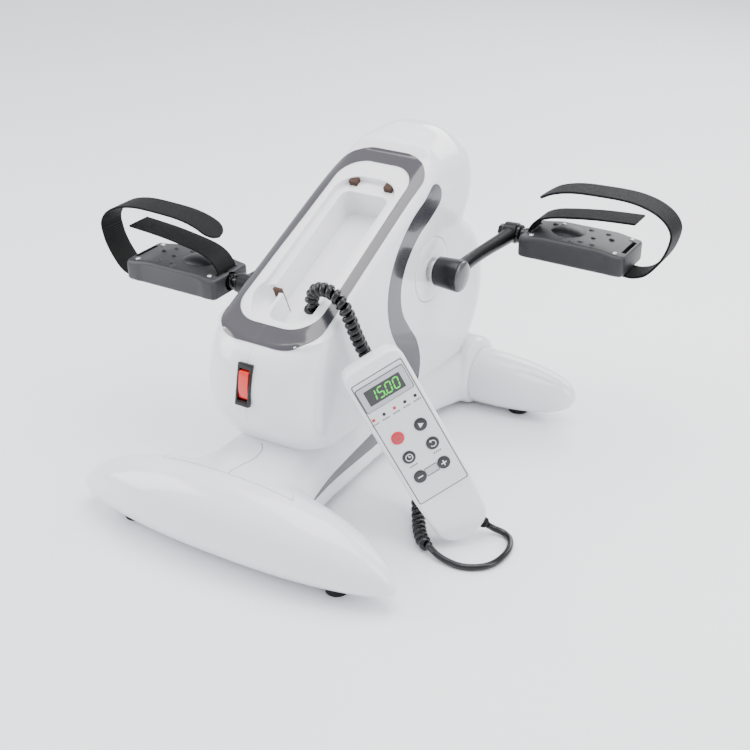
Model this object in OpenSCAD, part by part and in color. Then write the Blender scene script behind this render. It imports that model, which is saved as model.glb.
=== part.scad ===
// Motorised pedal exerciser: a casing with a sloping handset cradle on two cross feet,
// a crank with two strapped pedals, and a corded handset leaning against its right side.
// X is the width, Y runs from the front foot to the rear foot, Z is up from the floor.

/* [Stand] */
// Distance between the axes of the front and the rear foot
foot_span = 394; // [390:1:398]
// Half length of the front foot, centre to tip
front_half = 184; // [170:1:195]
// Half length of the rear foot, centre to tip
rear_half = 188; // [175:1:200]

/* [Casing] */
// Half width of the casing
case_half = 60; // [60:1:62]
// Thickness of the moulded walls
wall = 3; // [2:0.5:3]

/* [Crank] */
// Height of the crank axle above the floor
axle_z = 204; // [202:1:206]
// Distance from the axle to a pedal spindle
crank_r = 105; // [100:1:108]
// Angle of the right crank arm above the horizontal
crank_angle = 8; // [5:1:12]

/* [Pedals] */
// Length of a pedal, across the machine
pedal_len = 118; // [110:1:122]
// Width of a pedal, along the machine
pedal_w = 62; // [58:1:70]
// Thickness of a pedal
pedal_t = 26; // [24:1:28]

/* [Handset] */
// Half width of the handset
hs_half = 31; // [30:0.5:32]
// Thickness of the handset
hs_t = 26; // [24:1:28]

/* [Hidden] */

$fn = 48;
eps = 0.01;
fit_gap = 0.3;
case_colour = "#f0f0f4";
trim_colour = "#4a484e";
pedal_colour = "#3a3b3e";
black = "#161618";
steel = "silver";

front_y = -foot_span / 2;
rear_y = foot_span / 2;
front_r = 43;
rear_r = 32.5;
rear_z = 33.5;
seam_x = 70;
pad_x = 120;

// The sloping top: a plane through this point, tilted about X
top_y = -28;
top_z = 254.5;
slope = 24.3;

// Side outline of the casing: a nose, a hump and a round back
hump_c = [150, 278];
hump_r = 58;
back_c = [152, 147];
back_r = 90;

axle_y = 88;
motor_y = -50;
motor_z = 130;
motor_r = 30;
shaft_r = 4;
pulley_r = 46;
motor_pulley_r = 12;
belt_x = 29;
belt_w = 10;
belt_gap = 0.4;
belt_t = 2;

hub_r = 17;
hub_x0 = 66;
hub_x1 = 95;
pedal_x = 122.4;
spindle_r = 6;

// The handset's face: its centre, and the turns that lean it against the casing
hs_at = [140, -96, 124];
hs_turn = [79, -26, 49];
button_r = 6.6;
button_gap = 0.4;
button_rows = [2.5, -20.5, -44];
button_x = 13;
led_pitch = 11.25;

// Centre line of the curly cord, from the cradle's grommet to the floor, and of its lead
cord_d = 14.5;
lead_d = 6.6;

// ---------- shared shapes ----------

// Rounded rectangle, w by l, with corners of radius r
module rounded_rect(w, l, r) {
    square([w - 2 * r, l], center = true);
    square([w, l - 2 * r], center = true);
    for (sx = [-1, 1], sy = [-1, 1]) translate([sx * (w / 2 - r), sy * (l / 2 - r)]) circle(r);
}

// Extrude a (y, z) outline along X from x0 to x1
module along_x(x0, x1) {
    translate([x0, 0, 0]) rotate([90, 0, 90]) linear_extrude(x1 - x0) children();
}

// A cylinder along X from x0 to x1 at (y, z)
module bar_x(r, x0, x1, y, z) {
    translate([x0, y, z]) rotate([0, 90, 0]) cylinder(r = r, h = x1 - x0);
}

// Put children in the frame of the sloping top: local Y up the slope, Z out of it
module on_slope() {
    translate([0, top_y, top_z]) rotate([slope, 0, 0]) children();
}

// Put children in the handset's frame: X across, Y up its length, Z out of its face
module on_handset() {
    translate(hs_at) rotate(hs_turn) children();
}

// Points of an arc from a0 to a1 degrees, in n steps
function arc(c, r, a0, a1, n) =
    [for (i = [0:n]) c + r * [cos(a0 + (a1 - a0) * i / n), sin(a0 + (a1 - a0) * i / n)]];

// Outline of a band of half thickness h(i) round a centre line
function band(p, h) = concat(
    [for (i = [0:len(p) - 1]) p[i] + h[i] * normal_at(p, i)],
    [for (i = [len(p) - 1:-1:0]) p[i] - h[i] * normal_at(p, i)]);
function normal_at(p, i) =
    let (a = p[max(i - 1, 0)], b = p[min(i + 1, len(p) - 1)], d = (b - a) / norm(b - a))
    [-d[1], d[0]];

// ---------- casing ----------

// The casing's front and back faces, its lower edge at each, and the roundness seen from above
nose_y = -165;
back_y = 242;
lip = [-137, 92];
tail = [205, 72];
plan_corner = 44;

// Height of the casing's lower edge, a straight line from the lip to the tail
function edge_z(y) = lip[1] + (y - lip[0]) * (tail[1] - lip[1]) / (tail[0] - lip[0]);

// Side outline, drawn w inside the outer skin, with its lower edge dropped by drop
module case_outline(w, drop) {
    polygon(concat(
        [lip + [w, -drop], lip + [w, 0], [-156 + w, 116], [-164 + w, 140], [nose_y + w, 160],
            [-160 + w, 182], [-145 + w * 0.6, 201.6 - w * 1.1], [104, 314.1 - w * 1.1]],
        arc(hump_c, hump_r - w, 139, -48, 36),
        arc(back_c, back_r - w, 62, -52, 28),
        [tail - [w, drop]]));
}

// Everything below the casing's lower edge
module below_edge() {
    along_x(-100, 100) polygon([[-300, edge_z(-300)], [-300, -50], [400, -50], [400, edge_z(400)]]);
}

// Plan outline with round front and back, drawn w inside the outer skin
module case_plan(w) {
    long = back_y - nose_y;
    translate([-case_half + w, nose_y + plan_corner])
        square([2 * (case_half - w), long - 2 * plan_corner]);
    translate([-case_half + plan_corner, nose_y + w])
        square([2 * (case_half - plan_corner), long - 2 * w]);
    for (x = [-1, 1], y = [nose_y + plan_corner, back_y - plan_corner])
        translate([x * (case_half - plan_corner), y]) circle(plan_corner - w, $fn = 96);
}

module case_solid(w, drop) {
    intersection() {
        along_x(-case_half + w, case_half - w) case_outline(w, drop);
        translate([0, 0, 30]) linear_extrude(340) case_plan(w);
    }
}

ring_mid = 10.5;
ring_len = 277;
ring_half = 54;
tray_mid = 13.5;
tray_len = 233;
tray_half = 46;

// Everything the casing is cut away for
module case_cuts() {
    case_solid(wall, 30);
    on_slope() translate([0, ring_mid, -wall]) linear_extrude(60)
        rounded_rect(2 * ring_half, ring_len, 34);
    on_slope() translate([0, tray_mid, -60]) linear_extrude(70)
        rounded_rect(2 * tray_half - 6, tray_len - 6, 27);
    bar_x(cover_r, -case_half - 1, case_half + 1, axle_y, axle_z);
    switch_place() cube([switch_w + 0.2, switch_l + 0.2, 60], center = true);
    bar_y(inlet_r + 0.1, 200, 250, inlet_z);
    for (p = screw_places) bar_x(screw_r + 0.1, -case_half - 1, 0, p[0], p[1]);
}

module bar_y(r, y0, y1, z) {
    translate([0, y0, z]) rotate([-90, 0, 0]) cylinder(r = r, h = y1 - y0);
}

module casing_half(side) {
    color(case_colour) difference() {
        intersection() {
            case_solid(0, 6);
            translate([side > 0 ? 0 : -100, -200, 0]) cube([100, 500, 400]);
        }
        case_cuts();
        below_edge();
    }
}
module casing_left() { casing_half(-1); }
module casing_right() { casing_half(1); }

screw_r = 1.9;
screw_places = [[-120, 150], [-60, 102], [95, 98], [195, 110], [150, 300], [-25, 225]];
module casing_screws() {
    color(steel) for (p = screw_places) {
        bar_x(screw_r, -case_half - eps, -case_half + 14, p[0], p[1]);
        bar_x(4, -case_half - 1.5, -case_half, p[0], p[1]);
    }
}

// ---------- cradle ----------

cavity_mid = 5;
cavity_len = 204;
cavity_half = 34;
pocket_mid = 2;
pocket_len = 174;
pocket_half = 27;
shelf_depth = 7;
pocket_depth = 38;
tray_wall = 2.5;

module slope_block(mid, len, half, r, b0, b1) {
    on_slope() translate([0, mid, b0]) linear_extrude(b1 - b0) rounded_rect(2 * half, len, r);
}

// Places on the slope of the cord's hole and of the brown pads
cord_hole = [25.5, -66];
hole_r = 7.5;
pad_places = [[-20, 97.5], [20, 97.5]];

module cradle_tray() {
    color("white") difference() {
        union() {
            slope_block(tray_mid, tray_len, tray_half, 30, -wall, 0);
            slope_block(cavity_mid, cavity_len + 2 * tray_wall, cavity_half + tray_wall, 26.5,
                -shelf_depth - tray_wall, -wall + eps);
            slope_block(pocket_mid, pocket_len + 2 * tray_wall, pocket_half + tray_wall, 24.5,
                -pocket_depth - tray_wall, -shelf_depth);
        }
        slope_block(cavity_mid, cavity_len, cavity_half, 24, -shelf_depth, 1);
        slope_block(pocket_mid, pocket_len, pocket_half, 22, -pocket_depth, 0);
        on_slope() translate([cord_hole[0], cord_hole[1], -14]) cylinder(r = hole_r, h = 20);
    }
}

module cord_grommet() {
    color(black) on_slope() translate([cord_hole[0], cord_hole[1], -11]) difference() {
        cylinder(r = hole_r, h = 5);
        translate([0, 0, -1]) cylinder(r = lead_d / 2 + 0.3, h = 7);
    }
}

// Foam pads that stop the handset rattling in the cradle
module cradle_pads() {
    color("#4b3328") on_slope() {
        for (p = pad_places) translate([p[0] - 4, p[1], -shelf_depth]) cube([8, 4, 5]);
        translate([-19, pocket_mid - pocket_len / 2 + 6, -pocket_depth]) cube([4, 4, 26]);
    }
}

module trim_ring() {
    color(trim_colour) on_slope() difference() {
        translate([0, ring_mid, -wall]) linear_extrude(wall + 0.8)
            rounded_rect(2 * ring_half - 0.4, ring_len - 0.4, 34);
        translate([0, tray_mid, -wall - 1]) linear_extrude(wall + 3)
            rounded_rect(2 * tray_half + 0.2, tray_len + 0.2, 30.1);
    }
}

// ---------- side trims and axle covers ----------

// Centre line of the side stripe on the casing (y, z), and its half widths
stripe_line = [[105, 288], [93, 282], [76, 273], [55, 264], [36, 250], [21, 233], [12, 212],
    [11, 190], [18, 168], [32, 147], [46, 128], [55, 108], [56, 88], [54, 80]];
stripe_half = [7, 12, 13, 13, 13, 13, 13, 13, 13, 13.5, 14, 13, 12, 11];

module side_trim(side) {
    x = case_half + 0.05;
    color(trim_colour) mirror([side < 0 ? 1 : 0, 0, 0]) {
        along_x(x, x + 1.2) polygon(band(stripe_line, stripe_half));
        along_x(base_half + 0.05, base_half + 1.2)
            polygon([[55, 62], [40, 42], [10, 24], [-30, 14], [-120, 12], [-135, 18], [-120, 22],
                [-32, 32], [0, 44], [24, 62]]);
    }
}
module side_trim_left() { side_trim(-1); }
module side_trim_right() { side_trim(1); }

cover_r = 35;
axle_r = 8;
module axle_cover(side) {
    color(case_colour) mirror([side < 0 ? 1 : 0, 0, 0]) difference() {
        bar_x(cover_r - 0.3, case_half - wall, case_half + 1.2, axle_y, axle_z);
        bar_x(axle_r + 2, 0, 100, axle_y, axle_z);
    }
}
module axle_cover_left() { axle_cover(-1); }
module axle_cover_right() { axle_cover(1); }

// ---------- base and feet ----------

base_half = 46;
saddle_half = 68;
saddle_r = 40;
module base_side(w) {
    polygon([[-150, 8], [-166, 40], [-158, 74], [-136, 91.7 - w], [204, 71.7 - w],
        [222 - w, 60], [232 - w, 34], [226 - w, 8]]);
}

module base_cover() {
    color(case_colour) difference() {
        union() {
            along_x(-base_half, base_half) base_side(0);
            bar_x(saddle_r, -saddle_half, saddle_half, rear_y, rear_z + 4);
        }
        along_x(-base_half + wall, base_half - wall) polygon([[-146, -1], [-150, 74], [-136, 120],
            [150, 120], [150, -1]]);
        foot_shape(fit_gap);
        bar_x(rear_r + 0.1, -saddle_half - 1, saddle_half + 1, rear_y, rear_z);
        translate([-100, -300, -20]) cube([200, 600, 22.5]);
        along_x(-100, 100) polygon([[-300, edge_z(-300) - fit_gap], [400, edge_z(400) - fit_gap],
            [400, 500], [-300, 500]]);
        chassis_beam(fit_gap);
    }
}

// Radii and places of the round sections that the front foot is blended over
foot_steps = [[0, front_r], [62, 41], [110, 34.5], [146, 25], [front_half - 10, 10]];
module foot_shape(grow) {
    hull() for (s = foot_steps, side = [-1, 1])
        translate([side * s[0], front_y, 2 + (front_r - s[1]) * 0.42 + s[1]])
            sphere(r = s[1] + grow, $fn = 32);
}

module front_foot() {
    color(case_colour) difference() {
        foot_shape(0);
        foot_shape(-wall);
        translate([-base_half + wall, front_y + 20, 15]) cube([2 * (base_half - wall), 60, 45]);
        for (x = [-1, 1]) bar_z(pad_r + 0.1, x * pad_x, front_y, 0, 30);
    }
}

module bar_z(r, x, y, z0, z1) {
    translate([x, y, z0]) cylinder(r = r, h = z1 - z0);
}

module rear_foot_tube() {
    color(case_colour) difference() {
        bar_x(rear_r, -seam_x, seam_x, rear_y, rear_z);
        bar_x(rear_r - wall, -seam_x - 1, seam_x + 1, rear_y, rear_z);
        translate([-30, rear_y - 60, 15]) cube([60, 60, 45]);
    }
}

// End cap: a bullet of revolution about the foot's axis, open at the seam
module rear_foot_cap(side) {
    cap_len = rear_half - seam_x;
    module bullet(w, x0) {
        translate([seam_x, rear_y, rear_z]) rotate([0, 90, 0]) rotate_extrude($fn = 64)
            polygon(concat([[0, x0], [rear_r - w, x0]],
                [for (i = [0:12]) let (a = i * 7.5)
                    [(rear_r - w) * cos(a) ^ 0.8, (cap_len - w) * sin(a)]], [[0, cap_len - w]]));
    }
    color(case_colour) mirror([side < 0 ? 1 : 0, 0, 0]) difference() {
        bullet(0, 0.2);
        bullet(wall, -1);
        bar_z(pad_r + 0.1, pad_x, rear_y, 0, 20);
    }
}
module rear_foot_cap_left() { rear_foot_cap(-1); }
module rear_foot_cap_right() { rear_foot_cap(1); }

pad_r = 11;
module rubber_pads() {
    color(black) for (x = [-pad_x, pad_x]) {
        bar_z(pad_r, x, front_y, 0, 14);
        bar_z(pad_r, x, rear_y, 0, 10);
    }
}

// ---------- chassis and drive ----------

beam_half = 18;
beam_z = 24;
beam_h = 28;
tube_r = 11;
tube_bore = 9;
front_tube_z = 38;
module chassis_beam(grow) {
    translate([-beam_half - grow, front_y - grow, beam_z - grow])
        cube([2 * (beam_half + grow), foot_span - 12, beam_h + 2 * grow]);
}

plate_x = 40;
plate_t = 4;
module side_plate() {
    difference() {
        along_x(plate_x - plate_t, plate_x) polygon([[-95, 28], [140, 28], [112, 204], [104, 220],
            [88, 228], [72, 220], [60, 204], [30, 168], [-40, 166], [-95, 150]]);
        bar_x(bearing_r, 30, 50, axle_y, axle_z);
    }
}

bearing_r = 15;
module side_plate_left() { color("#30343a") mirror([1, 0, 0]) side_plate(); }
module side_plate_right() { color("#30343a") side_plate(); }

module chassis() {
    color("#30343a") {
        difference() {
            union() {
                chassis_beam(0);
                translate([-plate_x, -95, beam_z]) cube([2 * plate_x, 235, 4]);
            }
            translate([-beam_half + 2, front_y - 1, 28.5]) cube([2 * beam_half - 4, foot_span - 12, 21.5]);
        }
        difference() {
            bar_x(tube_r, -150, 150, front_y, front_tube_z);
            bar_x(tube_bore, -151, 151, front_y, front_tube_z);
            translate([-beam_half - eps, front_y - eps, 20]) cube([2 * (beam_half + eps), 30, 35]);
        }
        difference() {
            bar_x(tube_r, -160, 160, rear_y, rear_z);
            bar_x(tube_bore, -161, 161, rear_y, rear_z);
        }
    }
}

module crank_bearings() {
    color(steel) for (x = [-1, 1]) mirror([x < 0 ? 1 : 0, 0, 0]) difference() {
        bar_x(bearing_r, 35, 44, axle_y, axle_z);
        bar_x(axle_r + 0.03, 31, 45, axle_y, axle_z);
    }
}

module motor() {
    color("#55585c") difference() {
        union() {
            bar_x(motor_r, -36, 14, motor_y, motor_z);
            bar_x(11, 14, 20, motor_y, motor_z);
        }
        bar_x(shaft_r + 0.06, 4, 21, motor_y, motor_z);
    }
}

module motor_pulley() {
    color(steel) {
        bar_x(shaft_r, 6, belt_x + belt_w / 2 + 2, motor_y, motor_z);
        bar_x(motor_pulley_r, belt_x - belt_w / 2, belt_x + belt_w / 2, motor_y, motor_z);
    }
}

// Outline of the belt's loop, a distance d outside both pulleys
belt_run = [motor_y - axle_y, motor_z - axle_z];
belt_dir = atan2(belt_run[1], belt_run[0]);
belt_open = acos((pulley_r - motor_pulley_r) / norm(belt_run));
function belt_loop(d) = concat(
    arc([axle_y, axle_z], pulley_r + d, belt_dir + belt_open, belt_dir + 360 - belt_open, 24),
    arc([motor_y, motor_z], motor_pulley_r + d, belt_dir - belt_open, belt_dir + belt_open, 10));

module drive_belt() {
    color(black) along_x(belt_x - belt_w / 2 + 1, belt_x + belt_w / 2 - 1) difference() {
        polygon(belt_loop(belt_gap + belt_t));
        polygon(belt_loop(belt_gap));
    }
}

module control_board() {
    color("darkgreen") translate([41, -85, 96]) cube([1.6, 90, 60]);
    color("dimgray") for (i = [0:3])
        translate([42.6, -78 + 21 * i, 104]) cube([9 - 2 * (i % 2), 14, 12 + 8 * (i % 3)]);
}

inlet_r = 8;
inlet_z = 100;
module power_inlet() {
    color(black) difference() {
        bar_y(inlet_r, 200, 231, inlet_z);
        difference() {
            bar_y(4.5, 218, 240, inlet_z);
            bar_y(1.2, 210, 240, inlet_z);
        }
    }
}

// ---------- switch ----------

switch_w = 16;
switch_l = 42;
rocker_w = 10.4;
rocker_l = 28;
pin_r = 1.2;
pivot_z = -3;
module switch_place() {
    translate([0, -163, 168]) rotate([90 - 12, 0, 0]) children();
}

module switch_bezel() {
    color(black) switch_place() difference() {
        union() {
            translate([0, 0, -1]) linear_extrude(4) square([switch_w, switch_l], center = true);
            translate([0, 0, -14]) linear_extrude(14)
                square([switch_w - 3.2, switch_l - 3.2], center = true);
        }
        translate([0, 0, -11]) linear_extrude(20) square([11.2, 31], center = true);
        bar_x(pin_r + 0.05, -6.7, 6.7, 0, pivot_z);
    }
}

module rocker_switch() {
    color("red") switch_place() {
        translate([0, 0, pivot_z]) rotate([7, 0, 0]) along_x(-rocker_w / 2, rocker_w / 2)
            polygon([[-rocker_l / 2, -1], [-rocker_l / 2, 4.5], [0, 6.5], [rocker_l / 2, 4.5],
                [rocker_l / 2, -1], [0, -4]]);
        bar_x(pin_r, -6.6, 6.6, 0, pivot_z);
    }
}

// ---------- crank ----------

module crank_axle() {
    color(steel) bar_x(axle_r, -hub_x1 + 4, hub_x1 - 4, axle_y, axle_z);
}

module drive_pulley() {
    color("#2a2a2c") difference() {
        bar_x(pulley_r, belt_x - belt_w / 2, belt_x + belt_w / 2, axle_y, axle_z);
        bar_x(axle_r, 0, 50, axle_y, axle_z);
        for (i = [0:5]) translate([0, axle_y, axle_z]) rotate([60 * i, 0, 0])
            bar_x(9, 0, 50, 28, 0);
    }
}

// Crank arm: a hub on the axle, a round bar that steps outward, and the spindle boss
module crank_arm(side) {
    a = side > 0 ? crank_angle : crank_angle + 180;
    color(black) translate([0, axle_y, axle_z]) rotate([a, 0, 0])
        mirror([side < 0 ? 1 : 0, 0, 0]) difference() {
            union() {
                bar_x(hub_r, hub_x0 + 2, hub_x1, 0, 0);
                bar_x(12.5, 95, 110, crank_r, 0);
                hull() {
                    translate([87, 10, 0]) sphere(r = 7, $fn = 24);
                    translate([91, 45, 0]) sphere(r = 7.5, $fn = 24);
                }
                hull() {
                    translate([91, 45, 0]) sphere(r = 7.5, $fn = 24);
                    translate([102, crank_r - 5, 0]) sphere(r = 7, $fn = 24);
                }
            }
            bar_x(axle_r, 60, hub_x1 - 4, 0, 0);
            bar_x(spindle_r, 90, 120, crank_r, 0);
        }
}
module crank_arm_left() { crank_arm(-1); }
module crank_arm_right() { crank_arm(1); }

// Domed end cap on a crank hub
module hub_cap(side) {
    color("#46474b") mirror([side < 0 ? 1 : 0, 0, 0]) translate([hub_x1, axle_y, axle_z])
        rotate([0, 90, 0]) rotate_extrude() intersection() {
            translate([0, -34]) circle(r = 38.5, $fn = 96);
            square([16, 10]);
        }
}
module hub_cap_left() { hub_cap(-1); }
module hub_cap_right() { hub_cap(1); }

function spindle_at(side) = let (a = side > 0 ? crank_angle : crank_angle + 180)
    [axle_y + crank_r * cos(a), axle_z + crank_r * sin(a)];

module pedal_spindle(side) {
    p = spindle_at(side);
    color(steel) mirror([side < 0 ? 1 : 0, 0, 0]) {
        bar_x(spindle_r, 92, pedal_x + 70, p[0], p[1]);
        bar_x(10, 110, 114, p[0], p[1]);
        bar_x(8.5, 88, 92, p[0], p[1]);
    }
}
module pedal_spindle_left() { pedal_spindle(-1); }
module pedal_spindle_right() { pedal_spindle(1); }

// ---------- pedals ----------

// Put children in a pedal's frame: X outward from its inner end, Y along the machine, Z up
module on_pedal(side) {
    p = spindle_at(side);
    translate([0, p[0], p[1]]) mirror([side < 0 ? 1 : 0, 0, 0]) translate([pedal_x, 0, 0]) children();
}

module pedal_body(side) {
    w = pedal_w / 2;
    t = pedal_t / 2;
    color(pedal_colour) on_pedal(side) difference() {
        union() {
            along_x(0, pedal_len) polygon([[-w, -t + 4], [-w + 4, -t], [w - 4, -t], [w, -t + 4],
                [w - 1, t - 5], [w - 7, t], [-w + 7, t], [-w + 1, t - 5]]);
            translate([42, 4, t]) cylinder(r = 13, h = 3);
        }
        bar_x(spindle_r + 0.06, -1, 80, 0, 0);
        translate([4, -17, 2 * t - 16]) cube([4, 34, 40]);
        translate([pedal_len - 7, -17, -t - 1]) cube([4, 34, 2 * t + 2]);
    }
}
module pedal_body_left() { pedal_body(-1); }
module pedal_body_right() { pedal_body(1); }

screw_spots = [[12, -18], [106, -24], [108, 22], [66, -18], [80, -20], [64, 18], [84, 16]];
module pedal_screws(side) {
    color(steel) on_pedal(side) for (s = screw_spots)
        translate([s[0], s[1], pedal_t / 2]) cylinder(r = 3, h = 1.2);
}
module pedal_screws_left() { pedal_screws(-1); }
module pedal_screws_right() { pedal_screws(1); }

// Centre lines of the straps in the pedal's frame (outward, up)
strap_top = [[12, 47], [28, 57], [50, 63], [78, 65], [112, 65], [136, 60], [152, 51], [160, 39],
    [159, 26], [154, 12], [145, -2], [136, -11], [124, -15.5], [113, -15.5]];
strap_low = [[6, 10.5], [7, 15], [14, 24], [26, 30], [44, 34], [80, 39], [122, 42]];
strap_w = 32;
strap_t = 2.4;
module strap(side, line) {
    color(black) on_pedal(side) translate([0, strap_w / 2, 0]) rotate([90, 0, 0]) linear_extrude(strap_w)
        polygon(band(line, [for (p = line) strap_t / 2]));
}
module strap_outer_left() { strap(-1, strap_top); }
module strap_outer_right() { strap(1, strap_top); }
module strap_inner_left() { strap(-1, strap_low); }
module strap_inner_right() { strap(1, strap_low); }

// ---------- handset ----------

// Outline of the handset, d inside its skin: square shoulders, a round narrower foot
module hs_outline(d) {
    polygon(concat(
        arc([hs_half - 12, 71], 12 - d, 0, 90, 6), arc([-hs_half + 12, 71], 12 - d, 90, 180, 6),
        [[-hs_half + d, -60]], arc([-6, -105], 22 - d, 185, 270, 8),
        arc([6, -105], 22 - d, 270, 355, 8), [[hs_half - d, -60]]));
}

panel_half = 27.2;
panel_len = 141;
window_w = 38;
window_l = 16;
window_y = 52;
bezel_w = 50;
bezel_l = 25;
buttons = [[-button_x, button_rows[0]], [button_x - 1, button_rows[0]],
    [-button_x, button_rows[1]], [button_x, button_rows[1]],
    [-button_x, button_rows[2]], [button_x, button_rows[2]]];
function led_x(i) = -1.4 + (i - 2) * led_pitch;
led_y = 30.5;

// Holes through the face for the buttons, the display and the lamps
module face_holes() {
    for (b = buttons) translate(b) circle(button_r + button_gap);
    translate([-0.5, window_y]) square([window_w, window_l], center = true);
    for (i = [0:4]) translate([led_x(i), led_y]) circle(1.6);
}

module handset_front() {
    color(case_colour) on_handset() difference() {
        translate([0, 0, -11]) linear_extrude(11) hs_outline(0);
        translate([0, 0, -12]) linear_extrude(9.2) hs_outline(2);
        translate([0, 0, -0.8]) linear_extrude(2) square([2 * panel_half, panel_len], center = true);
        translate([0, 0, -5]) linear_extrude(6) face_holes();
        relief_cut();
    }
}

module handset_back() {
    color(case_colour) on_handset() difference() {
        translate([0, 0, -hs_t]) linear_extrude(hs_t - 11) hs_outline(0);
        translate([0, 0, -hs_t + 2]) linear_extrude(hs_t) hs_outline(2);
        relief_cut();
    }
}

module handset_panel() {
    color("whitesmoke") on_handset() translate([0, 0, -0.8]) linear_extrude(0.8) difference() {
        square([2 * panel_half - 0.1, panel_len - 0.1], center = true);
        face_holes();
    }
}

module display_bezel() {
    color("#8b8e93") on_handset() translate([-0.5, window_y, 0]) linear_extrude(1.2) difference() {
        square([bezel_w, bezel_l], center = true);
        square([window_w, window_l], center = true);
    }
}

module display_window() {
    color("#101812") on_handset() translate([-0.5, window_y, -4]) linear_extrude(4.4)
        square([window_w - 0.1, window_l - 0.1], center = true);
}

module indicator_leds() {
    color("darkred") on_handset() for (i = [0:4])
        translate([led_x(i), led_y, -6]) cylinder(r = 1.55, h = 6.3);
}

module handset_board() {
    color("darkgreen") on_handset() {
        translate([-25, -85, -10.5]) cube([50, 155, 1.6]);
        for (b = buttons) translate([b[0] - 3, b[1] - 3, -8.9]) cube([6, 6, 1]);
    }
}

// The strain relief leaves the foot of the handset at a slant
module relief_place() {
    translate([14, -118, -13]) rotate([0, 0, 20]) rotate([90, 0, 0]) children();
}
module relief_cut() {
    relief_place() {
        translate([0, 0, -8]) cylinder(r = relief_r + 0.1, h = 16);
        translate([0, 0, 4]) cylinder(r = relief_r + 0.8, h = 16);
    }
}
relief_len = 16;
relief_r = 4.8;
module strain_relief() {
    color(black) on_handset() relief_place() difference() {
        union() {
            translate([0, 0, -4]) cylinder(r1 = relief_r, r2 = 4.3, h = relief_len + 4);
            for (i = [0:2]) translate([0, 0, 4.6 + 3.6 * i]) cylinder(r = 5.5, h = 1.8);
        }
        translate([0, 0, relief_len - 8]) cylinder(r = lead_d / 2, h = 9);
    }
}

// A press button, standing a little proud of the panel
module button(i, colour) {
    color(colour) on_handset() translate([buttons[i][0], buttons[i][1], -6])
        cylinder(r = button_r, h = 7.2);
}
module power_button() { button(0, "#c2182c"); }
module start_button() { button(1, "#2b2b2e"); }
module time_button() { button(2, "#2b2b2e"); }
module reverse_button() { button(3, "#2b2b2e"); }
module minus_button() { button(4, "#2b2b2e"); }
module plus_button() { button(5, "#2b2b2e"); }

// ---------- cord ----------

cord_route = [
    [25.5, -86, 222], [26, -86, 231], [31, -88, 241], [42, -92, 247], [55, -95, 247],
    [66, -96, 239], [72, -93, 224], [75, -87, 206], [79, -79, 186], [85, -68, 166],
    [92, -58, 146], [98, -50, 124], [103, -44, 102], [107, -40, 80], [111, -39, 60],
    [116, -41, 41], [122, -47, 26], [128, -57, 15], [136, -70, 9.5], [145, -84, 7.5],
    [156, -97, 7.5], [168, -104, 7.5]];
lead_route = [
    [168, -104, 7.5], [178, -108, 5.5], [190, -110, 4], [203, -110, 3.5], [214, -106, 3.5],
    [224, -98, 3.5], [230, -86, 3.5], [232, -70, 3.5], [230, -56, 3.5], [224, -45, 3.5],
    [215, -40, 4], [206, -42, 6.8], [200.5, -46, 11.5]];

// Rings of a tube along a centre line, carried without twist
function along(p, i) = let (a = p[max(i - 1, 0)], b = p[min(i + 1, len(p) - 1)]) (b - a) / norm(b - a);
function first_side(t) = let (s = cross(t, [0, 1, 0.3])) s / norm(s);
function next_side(s, t) = let (n = s - (s * t) * t) n / norm(n);
function sides(p, i = 0, s = [0, 0, 0]) = i == len(p) ? [] :
    let (t = along(p, i), n = i == 0 ? first_side(t) : next_side(s, t)) concat([n], sides(p, i + 1, n));

module tube(p, d, n) {
    s = sides(p);
    rings = [for (i = [0:len(p) - 1]) let (t = along(p, i), v = cross(t, s[i]))
        for (k = [0:n - 1]) p[i] + d / 2 * (cos(360 * k / n) * s[i] + sin(360 * k / n) * v)];
    last = (len(p) - 1) * n;
    polyhedron(rings, concat(
        [[for (k = [0:n - 1]) k]],
        [for (i = [0:len(p) - 2], k = [0:n - 1])
            [i * n + k, (i + 1) * n + k, (i + 1) * n + (k + 1) % n]],
        [for (i = [0:len(p) - 2], k = [0:n - 1])
            [i * n + k, (i + 1) * n + (k + 1) % n, i * n + (k + 1) % n]],
        [[for (k = [n - 1:-1:0]) last + k]]));
}

module handset_cord() { color(black) tube(cord_route, cord_d, 10); }
module handset_lead() { color(black) tube(lead_route, lead_d, 8); }

casing_left();
casing_right();
cradle_tray();
trim_ring();
cradle_pads();
cord_grommet();
side_trim_left();
side_trim_right();
axle_cover_left();
axle_cover_right();
base_cover();
front_foot();
rear_foot_tube();
rear_foot_cap_left();
rear_foot_cap_right();
rubber_pads();
chassis();
side_plate_left();
side_plate_right();
crank_bearings();
motor();
drive_belt();
control_board();
power_inlet();
switch_bezel();
rocker_switch();
casing_screws();
crank_axle();
drive_pulley();
crank_arm_left();
crank_arm_right();
hub_cap_left();
hub_cap_right();
pedal_spindle_left();
pedal_spindle_right();
motor_pulley();
pedal_body_left();
pedal_screws_left();
strap_outer_left();
strap_inner_left();
pedal_body_right();
pedal_screws_right();
strap_outer_right();
strap_inner_right();
handset_front();
handset_back();
handset_panel();
display_bezel();
display_window();
indicator_leds();
handset_board();
strain_relief();
power_button();
start_button();
time_button();
reverse_button();
minus_button();
plus_button();
handset_cord();
handset_lead();
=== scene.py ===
# %% [markdown]
# # A motorised pedal exerciser, piece by piece
# The machine is a small motor drive for a seated person's legs. A glossy white casing stands on
# two cross feet, a crank carries two strapped pedals, and a handset on a curly cord sets the pace.
# The frame of the model, with every size and every joint, is already packed. This lesson dresses
# it: each visible piece gets the shape that a mould or a press would give it, and its own finish.

# %% Load the frame
import math

import bmesh
import bpy
from mathutils import Matrix, Vector
from mathutils.bvhtree import BVHTree


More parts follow.
